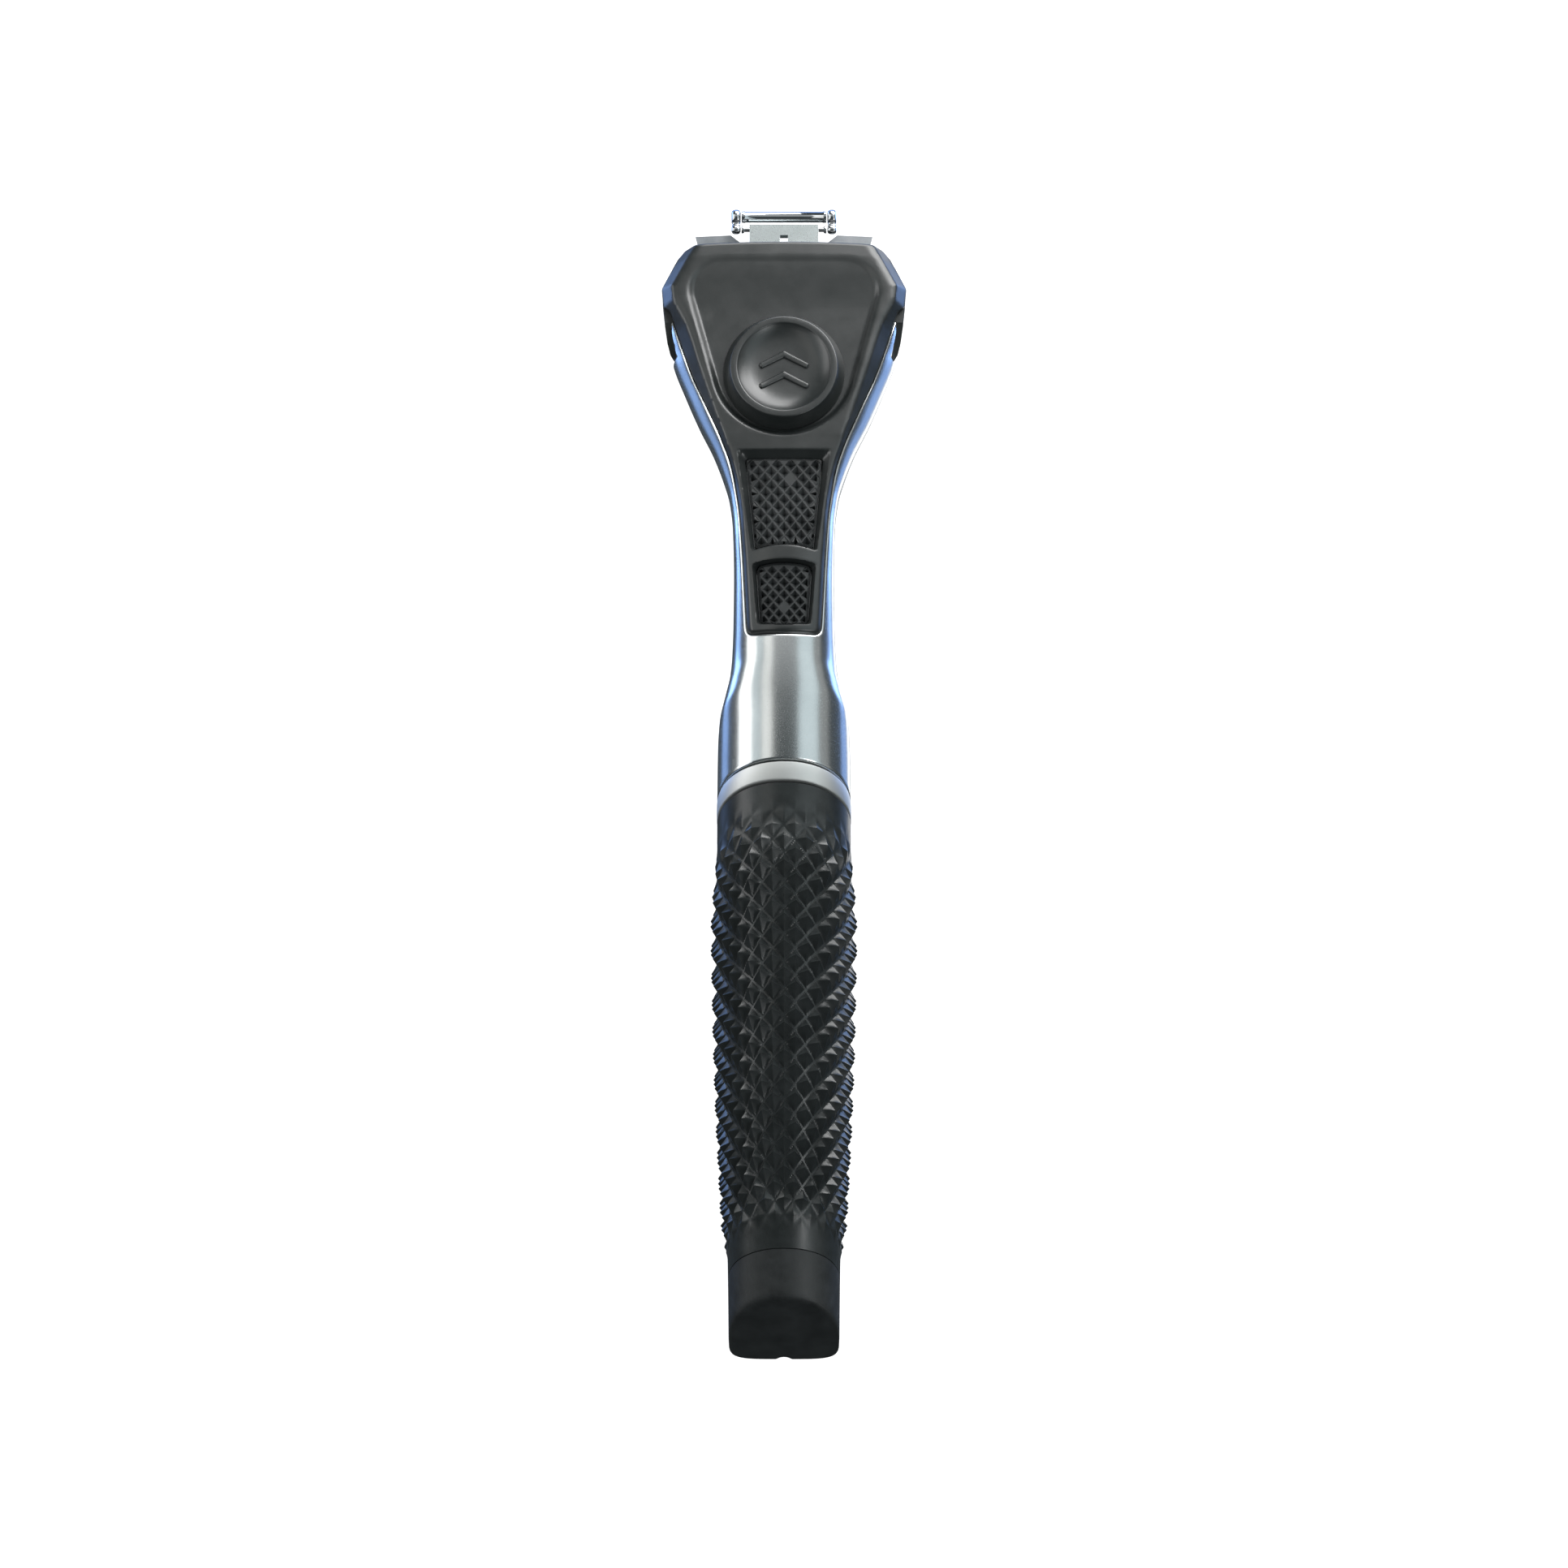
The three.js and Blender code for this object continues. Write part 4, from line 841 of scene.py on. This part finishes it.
def head_cover():
    outline = cover_outline(0.22)
    panel = panel_outline(0.22)
    edges = [window_outline(*window, 0.2) for window in WINDOW_EDGES]
    feet = [window_outline(*window, 0.2) for window in WINDOW_FEET]
    sides = cover_sides()

    def top(plan):
        height = -crown(plan) + shoulder(plan, sides)
        wall = np.interp(distance_to(panel, plan), *PANEL_WALL)
        height = height * (1 - wall) - panel_depth(plan[:, 1]) * wall
        for edge, foot in zip(edges, feet):
            into = distance_to(edge, plan)
            from_edge = np.clip(into, 0, None)
            to_foot = np.clip(-distance_to(foot, plan), 0, None)
            share = from_edge / np.maximum(from_edge + to_foot, TINY)
            depth = np.maximum(np.interp(into, *WINDOW_LIP), WINDOW_DEPTH * share)
            height = height - np.where(into > WINDOW_LIP[0][0], depth, 0)
        return height

    def bottom(plan):
        return np.where(plan[:, 1] > TAIL_START, -COVER_THICKNESS, -TAIL_THICKNESS)

    rows = [inset_rows(outline, COVER_INSETS), inset_rows(panel, PANEL_INSETS)]
    rows += [inset_rows(edge, WINDOW_INSETS) for edge in edges]
    x, station = np.meshgrid(np.arange(-15, 15, FIELD_STEP), np.arange(-33, 17, FIELD_STEP))
    field = np.column_stack([x.ravel(), station.ravel()])
    lines = [outline, panel, *edges]
    clear = np.min([np.abs(distance_to(line, field)) for line in lines], axis=0) > FIELD_GAP
    inner = thinned(np.vstack([*rows, field[clear]]), 0.05)
    keep = distance_to(outline, inner) > 0.02
    for foot in feet:
        keep &= distance_to(foot, inner) < -0.04
    shape = slab([outline, *feet], inner[keep], top, bottom)
    cover = piece("cover", shape, "cover_plastic", sharp=38)
    combine(cover, upright(spread(rounded(STEM_SLOT), 0.6), *SLOT_ENDS))
    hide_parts("head_cover")


# ---- rubber pads with pits ----

PAD_TOP = -0.85
PAD_BOTTOM = -2.9
PAD_INSETS = [0.08, 0.18, 0.3]
PAD_ROUND = 0.16, 0.3  # how far a pad's edge falls, and over what width
NARROWING = 0.86  # pitch at a pad's last row, as a share of that at its first
PIT_SHARE = 0.445  # half a pit's size as a share of the pitch
PIT_EDGES = [(1.0, 0.0), (0.9, 0.05)]  # share of that size, and depth
PIT_DEPTH = 0.7

# piece, CAD node, outline, first and last row, pits across, pitch, and a bare spot's middle and radius
PADS = [
    ("upper_pad", "upper_grip_pad", ((4.5, -10.8), (3.38, -21.95), 0.0, 0.5, 0.3),
     (-11.6, -21.0), 6, (1.55, 1.76), (0.9, -13.4, 0.75)),
    ("lower_pad", "lower_grip_pad", ((3.2, -24.2), (2.8, -31.2), 0.42, -0.2, 0.9),
     (-24.75, -30.6), 5, (1.38, 1.5), (0.1, -29.4, 0.6)),
]


def pit_centres(rows, across, pitch, bare):
    """Middles of the pits, as x, station and the pitch across there."""
    first, last = rows
    narrow = smooth_curve([[first, pitch[0]], [last, pitch[0] * NARROWING]], 1)
    centres = []
    for k in range(int(round((first - last) / pitch[1] * 2)) + 1):
        station = first - k * pitch[1] / 2
        wide = float(narrow(station))
        here = across - k % 2
        for i in range(here):
            x = (i - (here - 1) / 2) * wide
            if math.hypot(x - bare[0], station - bare[1]) > bare[2]:
                centres.append((x, station, wide))
    return centres


def pad(name, node, outline_of, rows, across, pitch, bare):
    """A pad whose top is a lattice with diamond pits between its lines."""
    outline = window_outline(*outline_of, 0.25)
    pits, lines, depths = [], [], []
    for x, station, pitch_here in pit_centres(rows, across, pitch, bare):
        wide, tall = pitch_here * PIT_SHARE, pitch[1] * PIT_SHARE
        for reach, depth in PIT_EDGES:
            base = len(pits)
            for dx, ds in ((1, 0), (0, 1), (-1, 0), (0, -1)):
                pits.append((x + dx * wide * reach, station + ds * tall * reach))
                depths.append(depth)
            lines += [(base + i, base + (i + 1) % 4) for i in range(4)]
        pits.append((x, station))
        depths.append(PIT_DEPTH)
    pits = np.array(pits)
    known = {tuple(np.round(p, 4)): depth for p, depth in zip(pits, depths)}

    def top(plan):
        sunk = np.array([known.get(tuple(np.round(p, 4)), 0.0) for p in plan])
        fall, width = PAD_ROUND
        edge = fall * (1 - eased(distance_to(outline, plan) / width))
        return PAD_TOP - crown(plan) - sunk - edge

    def bottom(plan):
        return np.full(len(plan), PAD_BOTTOM)

    border = inset_rows(outline, PAD_INSETS)
    space = np.linalg.norm(border[:, None] - pits[None], axis=2).min(axis=1)
    shape = slab([outline], np.vstack([pits, border[space > 0.12]]), top, bottom, lines)
    item = piece(name, shape, "black_rubber", sharp=20)
    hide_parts(node)


# ---- button ----

BUTTON_TOP = 1.6
BUTTON_FLOOR = -0.5
DISH_RADIUS = 5.56
DISH_FLOOR = 0.45
DISH_RADII = [0.5, 1, 1.5, 2, 2.5, 3, 3.4, 3.8, 4.1, 4.4, 4.6, 4.8, 5.0, 5.15, 5.3, 5.42, 5.5]
# from the dish's edge over the rim and down the wall: radius and height
BUTTON_RIM = [(5.56, 1.55), (5.62, 1.585), (5.7, BUTTON_TOP), (6.24, BUTTON_TOP), (6.31, 1.585)]
BUTTON_RIM += [(6.38, 1.53), (6.44, 1.4), (6.5, 1.25), (6.66, 0.9), (6.85, 0.45), (7.05, -0.02)]
BUTTON_RIM += [(7.2, -0.36), (7.22, BUTTON_FLOOR)]
STEM = [(1.6, BUTTON_FLOOR + 0.2), (1.6, -3.6)]


def dish(radius):
    """Height of the dish in the button's top."""
    t = np.clip(radius / DISH_RADIUS, 0, 1)
    return DISH_FLOOR + (BUTTON_TOP - 0.08 - DISH_FLOOR) * t**4.6


def button():
    profile = [(radius, float(dish(radius))) for radius in DISH_RADII]
    item = piece("button", turned(profile + BUTTON_RIM), "cover_plastic", "release", sharp=50)
    combine(item, turned(STEM, 48), "UNION")
    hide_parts("release_button")


MARK_CENTRES = 0.35, -2.25
MARK_REACH = 2.9
MARK_RISE = 1.6
MARK_WIDTH = 0.4  # half of the bar's width
MARK_HEIGHT = 0.34
MARK_ROUND = 0.3
MARK_SUNK = 0.05
MARK_ROOT = 0.12


def chevron(centre):
    """Plan of a bar bent in the middle, pointing at the head."""
    end, half = [MARK_REACH, centre], MARK_WIDTH
    outer = [end[0] + half * 0.4, end[1] + half * 0.9, half * 0.8]
    inner = [end[0] - half * 0.3, end[1] - half * 0.9, half * 0.8]
    tip = centre + MARK_RISE
    corners = [
        [0, tip + half * 1.25, half * 0.9],
        [-outer[0], *outer[1:]],
        [-inner[0], *inner[1:]],
        [0, tip - half * 1.25, half * 0.6],
        inner,
        outer,
    ]
    return spread(rounded(corners), 0.12)


def button_mark(index, centre):
    outline = chevron(centre)
    inner = thinned(inset_rows(outline, [0.05, 0.12, 0.2, 0.28], 0.02), 0.06)

    def top(plan):
        t = np.clip(distance_to(outline, plan) / MARK_ROUND, 0, 1)
        rise = MARK_HEIGHT * np.sqrt(1 - (1 - t) ** 2)
        return dish(lengths(plan)) - MARK_SUNK + rise

    def bottom(plan):
        return dish(lengths(plan)) - MARK_ROOT

    shape = slab([outline], inner, top, bottom)
    piece(f"button_mark_{index}", shape, "cover_plastic", "release", sharp=60)


# ---- lower housing ----

# corners of the right half of the head's plan, from the back: x, station and radius
HEAD_PLAN = [[13.6, 0, 0], [14.6, 9.15, 1.0], [14.72, 11.3, 1.5]]
HEAD_PLAN += [[12.62, 15.3, 0.8], [11.4, 16.35, 1.0]]
HEAD_HALF = 15
HEAD_LENGTH = 17
# down the housing: height and inset
HOUSING_ROWS = [(-2.42, 0.12), (-2.5, 0.02), (-2.7, 0.0), (-4.0, 0.1), (-5.0, 0.38), (-5.6, 0.7)]
HOUSING_ROWS += [(-6.2, 1.15), (-6.8, 1.9), (-7.1, 2.4), (-7.3, 2.85), (HEAD_FLOOR, 3.3)]
HOUSING_GAP = 0.15  # between the housing and the metal
TRAY_TOP = -2.5
HOLLOW_PLAN = [[11.3, 18], [11.3, 8], [10.2, 4], [8.6, 0], [5, -7.9]]  # its right half
HOLLOW_ENDS = 1.0, -5.4
# x and station of each screw, and the top of the post it goes through
SCREWS = [(-9.4, 6.9, -2.6), (9.4, 6.9, -2.6), (-2.6, 10.6, -3.6), (2.6, 10.6, -3.6)]
POST_RADIUS = 1.3
POST_FOOT = -5.7
# a screw's hole, from its top down: radius and height
SCREW_HOLE = [(0.75, 0.0), (0.75, -6.4), (1.25, -6.4), (1.25, -7.3), (1.4, -7.45), (1.4, -9.0)]


def head_plan():
    front = rounded([[0, 8, 0], [9.6, 0, 0], *HEAD_PLAN, [5, COVER_FRONT + 0.32, 0]])[1:]
    return mirrored(np.vstack([[[0, COVER_FRONT + FRONT_BOW]], front[::-1]]), 0.5)


def lower_housing():
    plan = head_plan()
    levels = []
    for height, inset in HOUSING_ROWS:
        levels.append((plan * [1 - inset / HEAD_HALF, 1 - inset / HEAD_LENGTH], height))
    shell = piece("housing", stack(levels), "housing_plastic", sharp=CUT_SHARP)
    combine(shell, front_cut(HOUSING_GAP), "INTERSECT")
    combine(shell, upright(mirrored(TRAY, 1.0), TRAY_TOP, TRAY_BOTTOM), "UNION")
    combine(shell, upright(mirrored(HOLLOW_PLAN, 1.0), *HOLLOW_ENDS))
    for x, station, top in SCREWS:
        post = turned([(POST_RADIUS, top), (POST_RADIUS, POST_FOOT)], 32)
        combine(shell, moved(post, x, station), "UNION")
        combine(shell, moved(turned(SCREW_HOLE, 32), x, station))
    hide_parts("lower_housing")


# ---- docking loop ----

BAR_AHEAD = 1.66
LINK_INNER = 5.26
LINK_OUTER = 6.38
ROD_REACH = LINK_INNER - 0.1
# along a rod from its left end: distance and radius
BAR_ROWS = [(0, 0.3), (0, 0.6), (0.07, 0.69), (0.4, 0.7), (0.5, 0.66)]
PIN_ROWS = [(0, 0.2), (0, 0.42), (0.1, 0.45), (0.3, 0.42), (0.36, 0.27)]
BAR_BOSS = 0.9
PIN_BOSS = 0.55
WAIST = 0.36
WAIST_AT, WAIST_LENGTH = 0.62, 0.22
LINK_STEPS = 48


def rod(name, rows, station, segments):
    """A round rod across the handle, the same from both ends."""
    left = [(-ROD_REACH + along, radius) for along, radius in rows]
    angle = turns(segments)
    rings = []
    for x, radius in [*left, *((-x, radius) for x, radius in left[::-1])]:
        across = np.full(segments, x)
        ahead, height = station + radius * np.cos(angle), PIN[2] + radius * np.sin(angle)
        rings.append(np.column_stack([across, ahead, height]))
    return piece(name, tube(rings), "chrome", "dock", sharp=40)


def docking_rods():
    bar = rod("loop_bar", BAR_ROWS, PIN[1] + BAR_AHEAD, 64)
    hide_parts("docking_bar")
    pin = rod("loop_pin", PIN_ROWS, PIN[1], 48)
    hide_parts("docking_pin")


def docking_link(side, word):
    """A link whose two bosses swell out of a waist, all of it rounded."""
    x_half = (LINK_OUTER - LINK_INNER) / 2
    middle = side * (LINK_OUTER + LINK_INNER) / 2
    front, back = BAR_AHEAD + BAR_BOSS, -PIN_BOSS
    rings = []
    for t in np.linspace(0.004, 0.996, 60):
        station = front + (back - front) * t
        large = np.sqrt(max(0.0, BAR_BOSS**2 - (station - BAR_AHEAD) ** 2))
        small = np.sqrt(max(0.0, PIN_BOSS**2 - station**2))
        waist = WAIST * float(eased((front - station) / 0.6) * eased((station - back) / 0.5))
        tall = (large**6 + small**6 + waist**6) ** (1 / 6)
        pinch = math.exp(-(((station - WAIST_AT) / WAIST_LENGTH) ** 2))
        ends = min(1.0, (front - station) / 0.45, (station - back) / 0.35)
        wide = x_half * (1 - 0.2 * pinch) * math.sqrt(max(1e-4, 1 - (1 - ends) ** 2))
        x, height = section((wide, tall, 0, -tall, 2.8, 2.8), turns(LINK_STEPS)).T
        ahead = np.full(LINK_STEPS, PIN[1] + station)
        rings.append(np.column_stack([middle + x, ahead, PIN[2] + height]))
    link = piece("loop_link_" + word, tube(rings), "chrome", "dock", sharp=60)
    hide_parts("docking_link_" + word)


# ---- return springs ----

SPRING_ENDS = -5.3, 2.4  # stations
SPRING_RADIUS = 0.58
SPRING_X = 3.2
SPRING_HEIGHT = -3.3
WIRE = 0.11
COILS = 8.5
SAMPLES = 420
CLOSED = 0.08  # share of the wire in each closed end
CLOSED_RISE = 0.05  # share of the length that rises evenly, the closed ends included


def return_spring(side, word):
    """A compression spring with closed end turns."""
    start, end = SPRING_ENDS
    t = np.linspace(0, 1, SAMPLES)
    angle = 2 * np.pi * COILS * t
    between = np.clip((t - CLOSED) / (1 - 2 * CLOSED), 0, 1)
    pace = eased(between) * 0.35 + between * 0.65
    share = CLOSED_RISE * t + (1 - CLOSED_RISE) * pace
    along = start + WIRE + (end - start - 2 * WIRE) * share
    path = np.column_stack([SPRING_RADIUS * np.cos(angle), along, SPRING_RADIUS * np.sin(angle)])
    path += [side * SPRING_X, 0, SPRING_HEIGHT]
    forward = np.gradient(path, axis=0)
    forward /= lengths(forward)[:, None]
    outward = np.column_stack([np.cos(angle), np.zeros(SAMPLES), np.sin(angle)])
    third = np.cross(forward, outward)
    ring = turns(10)
    rings = [
        path[i] + WIRE * (np.outer(np.cos(ring), outward[i]) + np.outer(np.sin(ring), third[i]))
        for i in range(SAMPLES)
    ]
    spring = piece("spring_" + word, tube(rings), "spring_steel", sharp=60)
    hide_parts("return_spring_" + word)
    slide = next(joint for joint in frame["joints"] if joint["name"] == "release_slide")
    anchor = place([(side * SPRING_X, end, SPRING_HEIGHT)])[0]
    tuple(slide["axis"])
    tuple(anchor)
    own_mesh(spring)


# ---- materials ----


def nodes_of(name):
    look = bpy.data.materials.new(name)
    look.use_nodes = True
    tree = look.node_tree
    shader = tree.nodes["Principled BSDF"]
    where = tree.nodes.new("ShaderNodeNewGeometry")
    return look, tree, shader, where.outputs["Position"]


def settle(node, **values):
    """Sets a node's inputs; a _ in a keyword stands for a space in the input's name."""
    for name, value in values.items():
        node.inputs[name.replace("_", " ")].default_value = value


def noise(tree, where, scale, detail=2.0, roughness=0.5):
    node = tree.nodes.new("ShaderNodeTexNoise")
    settle(node, Scale=scale, Detail=detail, Roughness=roughness)
    tree.links.new(where, node.inputs["Vector"])
    return node.outputs["Fac"]


def ranged(tree, value, low, high):
    """A noise's usual range, 0.3 to 0.7, stretched from low to high."""
    node = tree.nodes.new("ShaderNodeMapRange")
    settle(node, From_Min=0.3, From_Max=0.7, To_Min=low, To_Max=high)
    tree.links.new(value, node.inputs["Value"])
    return node.outputs["Result"]


def mixed(tree, factor, first, second):
    node = tree.nodes.new("ShaderNodeMix")
    node.data_type = "RGBA"
    settle(node, A=(*first, 1), B=(*second, 1))
    tree.links.new(factor, node.inputs["Factor"])
    return node.outputs["Result"]


def bump(tree, shader, height, strength, depth):
    node = tree.nodes.new("ShaderNodeBump")
    settle(node, Strength=strength, Distance=depth)
    tree.links.new(height, node.inputs["Height"])
    tree.links.new(node.outputs["Normal"], shader.inputs["Normal"])


def metal(name, dark, light, rough, grain, depth):
    """Satin metal: a fine even grain and a faint drift of tone."""
    look, tree, shader, where = nodes_of(name)
    settle(shader, Metallic=1.0)
    tone = ranged(tree, noise(tree, where, scale=260, detail=3), 0, 1)
    tree.links.new(mixed(tree, tone, dark, light), shader.inputs["Base Color"])
    fine = noise(tree, where, grain, roughness=0.7)
    tree.links.new(ranged(tree, fine, *rough), shader.inputs["Roughness"])
    bump(tree, shader, fine, 0.35, depth)
    return look


def plastic(name, dark, light, rough, grain, depth, level=0.5):
    """Moulded plastic or rubber: fine texture with cloudy patches of tone and gloss."""
    look, tree, shader, where = nodes_of(name)
    cloud = noise(tree, where, scale=420, detail=5, roughness=0.62)
    tree.links.new(mixed(tree, ranged(tree, cloud, 0, 1), dark, light), shader.inputs["Base Color"])
    tree.links.new(ranged(tree, cloud, *rough), shader.inputs["Roughness"])
    settle(shader, Specular_IOR_Level=level)
    bump(tree, shader, noise(tree, where, grain, detail=3, roughness=0.6), 0.4, depth)
    return look


# darkest and lightest colour, range of roughness, the grain's scale and depth, and for some
# plastics the strength of their mirror reflection
METALS = {
    "satin_steel": ((0.56, 0.585, 0.59), (0.62, 0.645, 0.65), (0.2, 0.28), 9000, 8e-6),
    "light_steel": ((0.6, 0.615, 0.605), (0.66, 0.67, 0.66), (0.5, 0.58), 11000, 6e-6),
    "plate_steel": ((0.56, 0.61, 0.61), (0.61, 0.66, 0.66), (0.26, 0.32), 9000, 6e-6),
    "chrome": ((0.52, 0.54, 0.56), (0.57, 0.59, 0.61), (0.05, 0.08), 3000, 1e-6),
    "spring_steel": ((0.5, 0.51, 0.52), (0.6, 0.61, 0.62), (0.2, 0.3), 7000, 3e-6),
}
PLASTICS = {
    "cover_plastic": ((0.011, 0.0135, 0.0135), (0.016, 0.0185, 0.0185), (0.3, 0.36), 9000, 7e-6, 0.7),
    "housing_plastic": ((0.014, 0.017, 0.017), (0.02, 0.023, 0.023), (0.4, 0.48), 9000, 7e-6),
    "wing_plastic": ((0.17, 0.185, 0.2), (0.25, 0.265, 0.28), (0.45, 0.55), 12000, 8e-6),
    "core_plastic": ((0.1, 0.1, 0.1), (0.13, 0.13, 0.13), (0.5, 0.6), 6000, 1e-5),
    "black_rubber": ((0.011, 0.0125, 0.013), (0.024, 0.027, 0.028), (0.42, 0.6), 7000, 9e-6),
    "grip_rubber": ((0.0125, 0.015, 0.015), (0.022, 0.026, 0.0265), (0.3, 0.38), 7000, 6e-6),
}
looks = {name: metal(name, *row) for name, row in METALS.items()}
looks.update({name: plastic(name, *row) for name, row in PLASTICS.items()})


# ---- the object ----


def build():
    handle_body()
    collar()
    rubber_grip()
    end_cap()
    head_cover()
    for row in PADS:
        pad(*row)
    button()
    for index, centre in enumerate(MARK_CENTRES, 1):
        button_mark(index, centre)
    lower_housing()
    docking_rods()
    refined("tongue_plate", "plate_steel", "handle", 0.06, "tongue")
    refined("ejector_fork", "wing_plastic", "release", 0.05, "wings")
    for side, word in ((-1, "left"), (1, "right")):
        docking_link(side, word)
        return_spring(side, word)
        refined("cover_screw_" + word, "plate_steel", "handle", 0.05)
        refined("tongue_screw_" + word, "plate_steel", "handle", 0.05)


build()

slots = {row["node"]: row["material_slot"] for row in frame["record"]["subparts"]}
looks_of = {item: slots[node] for node, item in frame["nodes"].items()}
looks_of.update({item: item["looks"] for item in bpy.data.objects if "looks" in item})
for item, look in looks_of.items():
    item.data.materials.clear()
    item.data.materials.append(looks[look])

# ---- floor, background, camera and lights ----


def floor():
    """A white floor that the camera sees, but that neither lights nor darkens the handle."""
    mesh = bpy.data.meshes.new("floor")
    reach = 2.5
    corners = [(-reach, -reach, 0), (reach, -reach, 0), (reach, reach, 0), (-reach, reach, 0)]
    mesh.from_pydata(corners, [], [(0, 1, 2, 3)])
    item = added("floor", mesh)
    look, tree, shader, _ = nodes_of("floor")
    settle(shader, Base_Color=(0.5, 0.5, 0.5, 1), Roughness=0.9, Specular_IOR_Level=0.0)
    settle(shader, Emission_Color=(1, 1, 1, 1), Emission_Strength=0.93)
    mesh.materials.append(look)
    item.visible_glossy = False
    item.visible_diffuse = False
    item.visible_shadow = False


def background():
    """White to the camera, and a dim room to everything else."""
    world = bpy.data.worlds.new("studio")
    bpy.context.scene.world = world
    world.use_nodes = True
    tree = world.node_tree
    tree.nodes.clear()
    out = tree.nodes.new("ShaderNodeOutputWorld")
    seen = tree.nodes.new("ShaderNodeBackground")
    settle(seen, Color=(1, 1, 1, 1), Strength=1.0)
    room = tree.nodes.new("ShaderNodeBackground")
    settle(room, Color=(0.8, 0.92, 0.95, 1), Strength=0.09)
    path = tree.nodes.new("ShaderNodeLightPath")
    mix = tree.nodes.new("ShaderNodeMixShader")
    tree.links.new(path.outputs["Is Camera Ray"], mix.inputs["Fac"])
    tree.links.new(room.outputs["Background"], mix.inputs[1])
    tree.links.new(seen.outputs["Background"], mix.inputs[2])
    tree.links.new(mix.outputs["Shader"], out.inputs["Surface"])


def panel_light(name, position, target, size, radiance, colour, long_side=(0, 1, 0)):
    """A rectangular softbox; size is its width and its length along long_side."""
    light = bpy.data.lights.new(name, "AREA")
    light.shape = "RECTANGLE"
    light.size, light.size_y = size
    light.energy = radiance * math.pi * size[0] * size[1]
    light.color = colour
    item = added(name, light)
    back = (Vector(position) - Vector(target)).normalized()
    across = Vector(long_side).cross(back).normalized()
    upward = back.cross(across)
    turn = Matrix((across, upward, back)).transposed()
    item.matrix_world = Matrix.Translation(position) @ turn.to_4x4()
    item.visible_camera = False


ROOM_MIDDLE = 0.01  # height over the floor of the point that the lights face


def strip(name, angle, spread_angle, radiance, colour, length=0.7, distance=0.45, shift=0.0):
    """A long softbox along the handle, at an angle from straight up, positive to the right.

    spread_angle is the angle its width fills as seen from the handle; shift moves it ahead."""
    a = math.radians(angle)
    width = 2 * distance * math.tan(math.radians(spread_angle) / 2)
    position = (distance * math.sin(a), shift, distance * math.cos(a) + ROOM_MIDDLE)
    panel_light(name, position, (0, shift, ROOM_MIDDLE), (width, length), radiance, colour)


def softbox(name, azimuth, elevation, distance, size, radiance, colour):
    """A softbox seen from the handle at an azimuth from the right and an angle over the floor."""
    a, e = math.radians(azimuth), math.radians(elevation)
    way = Vector((math.cos(e) * math.cos(a), math.cos(e) * math.sin(a), math.sin(e)))
    target = Vector((0, 0, ROOM_MIDDLE))
    panel_light(name, way * distance + target, target, size, radiance, colour, (0, 0, 1))


def studio():
    warm, teal, blue = (1.0, 0.985, 0.95), (0.86, 0.97, 1.0), (0.3, 0.5, 1.0)
    white = (1, 1, 1)
    strip("left_key", -66, 25, 3.0, white, 0.5, shift=0.1)
    strip("left_fill", -43, 14, 0.8, teal, 0.5, shift=0.1)
    strip("left_top", -25, 17, 1.25, warm, 0.5, shift=0.1)
    strip("right_top", 38, 36, 0.95, teal)
    strip("right_side", 68, 20, 0.3, warm)
    strip("right_tail", 34, 9, 7.0, white, 0.22, shift=-0.28)
    strip("left_low", -122, 23, 1.0, blue, 0.4, shift=0.16)
    strip("right_low", 127, 24, 1.0, blue, 0.4, shift=0.16)
    strip("right_edge", 152, 18, 2.0, white, 0.4, shift=0.16)
    softbox("left_front_low", 150, -28, 0.45, (0.26, 0.2), 3.6, blue)
    softbox("right_front_low", 30, -28, 0.45, (0.26, 0.2), 3.6, blue)
    softbox("left_front_level", 142, -7, 0.45, (0.2, 0.1), 1.0, white)
    softbox("right_front_level", 34, -4, 0.45, (0.14, 0.1), 0.45, white)
    softbox("front_high", 66, 33, 0.45, (0.175, 0.11), 10.0, white)
    softbox("front", 68, 13, 0.45, (0.46, 0.27), 7.0, white)
    softbox("front_low", 90, -24, 0.45, (0.6, 0.22), 1.6, blue)
    softbox("head_light", 90, 62, 0.5, (0.34, 0.3), 0.45, white)


CAMERA_HEIGHT = 433.0  # above the grip's top line
CAMERA_BEHIND = 1.5  # behind the back end of the bend


def camera():
    lens = bpy.data.cameras.new("camera")
    lens.lens = 85
    lens.sensor_width = 36
    item = added("camera", lens)
    position = place([(0, BEND_BACK - CAMERA_BEHIND, CAMERA_HEIGHT)])[0]
    item.matrix_world = Matrix.Translation(position) @ Matrix.Rotation(TILT, 4, "X")
    bpy.context.scene.camera = item


floor()
background()
studio()
camera()
bpy.context.scene.view_settings.view_transform = "Standard"
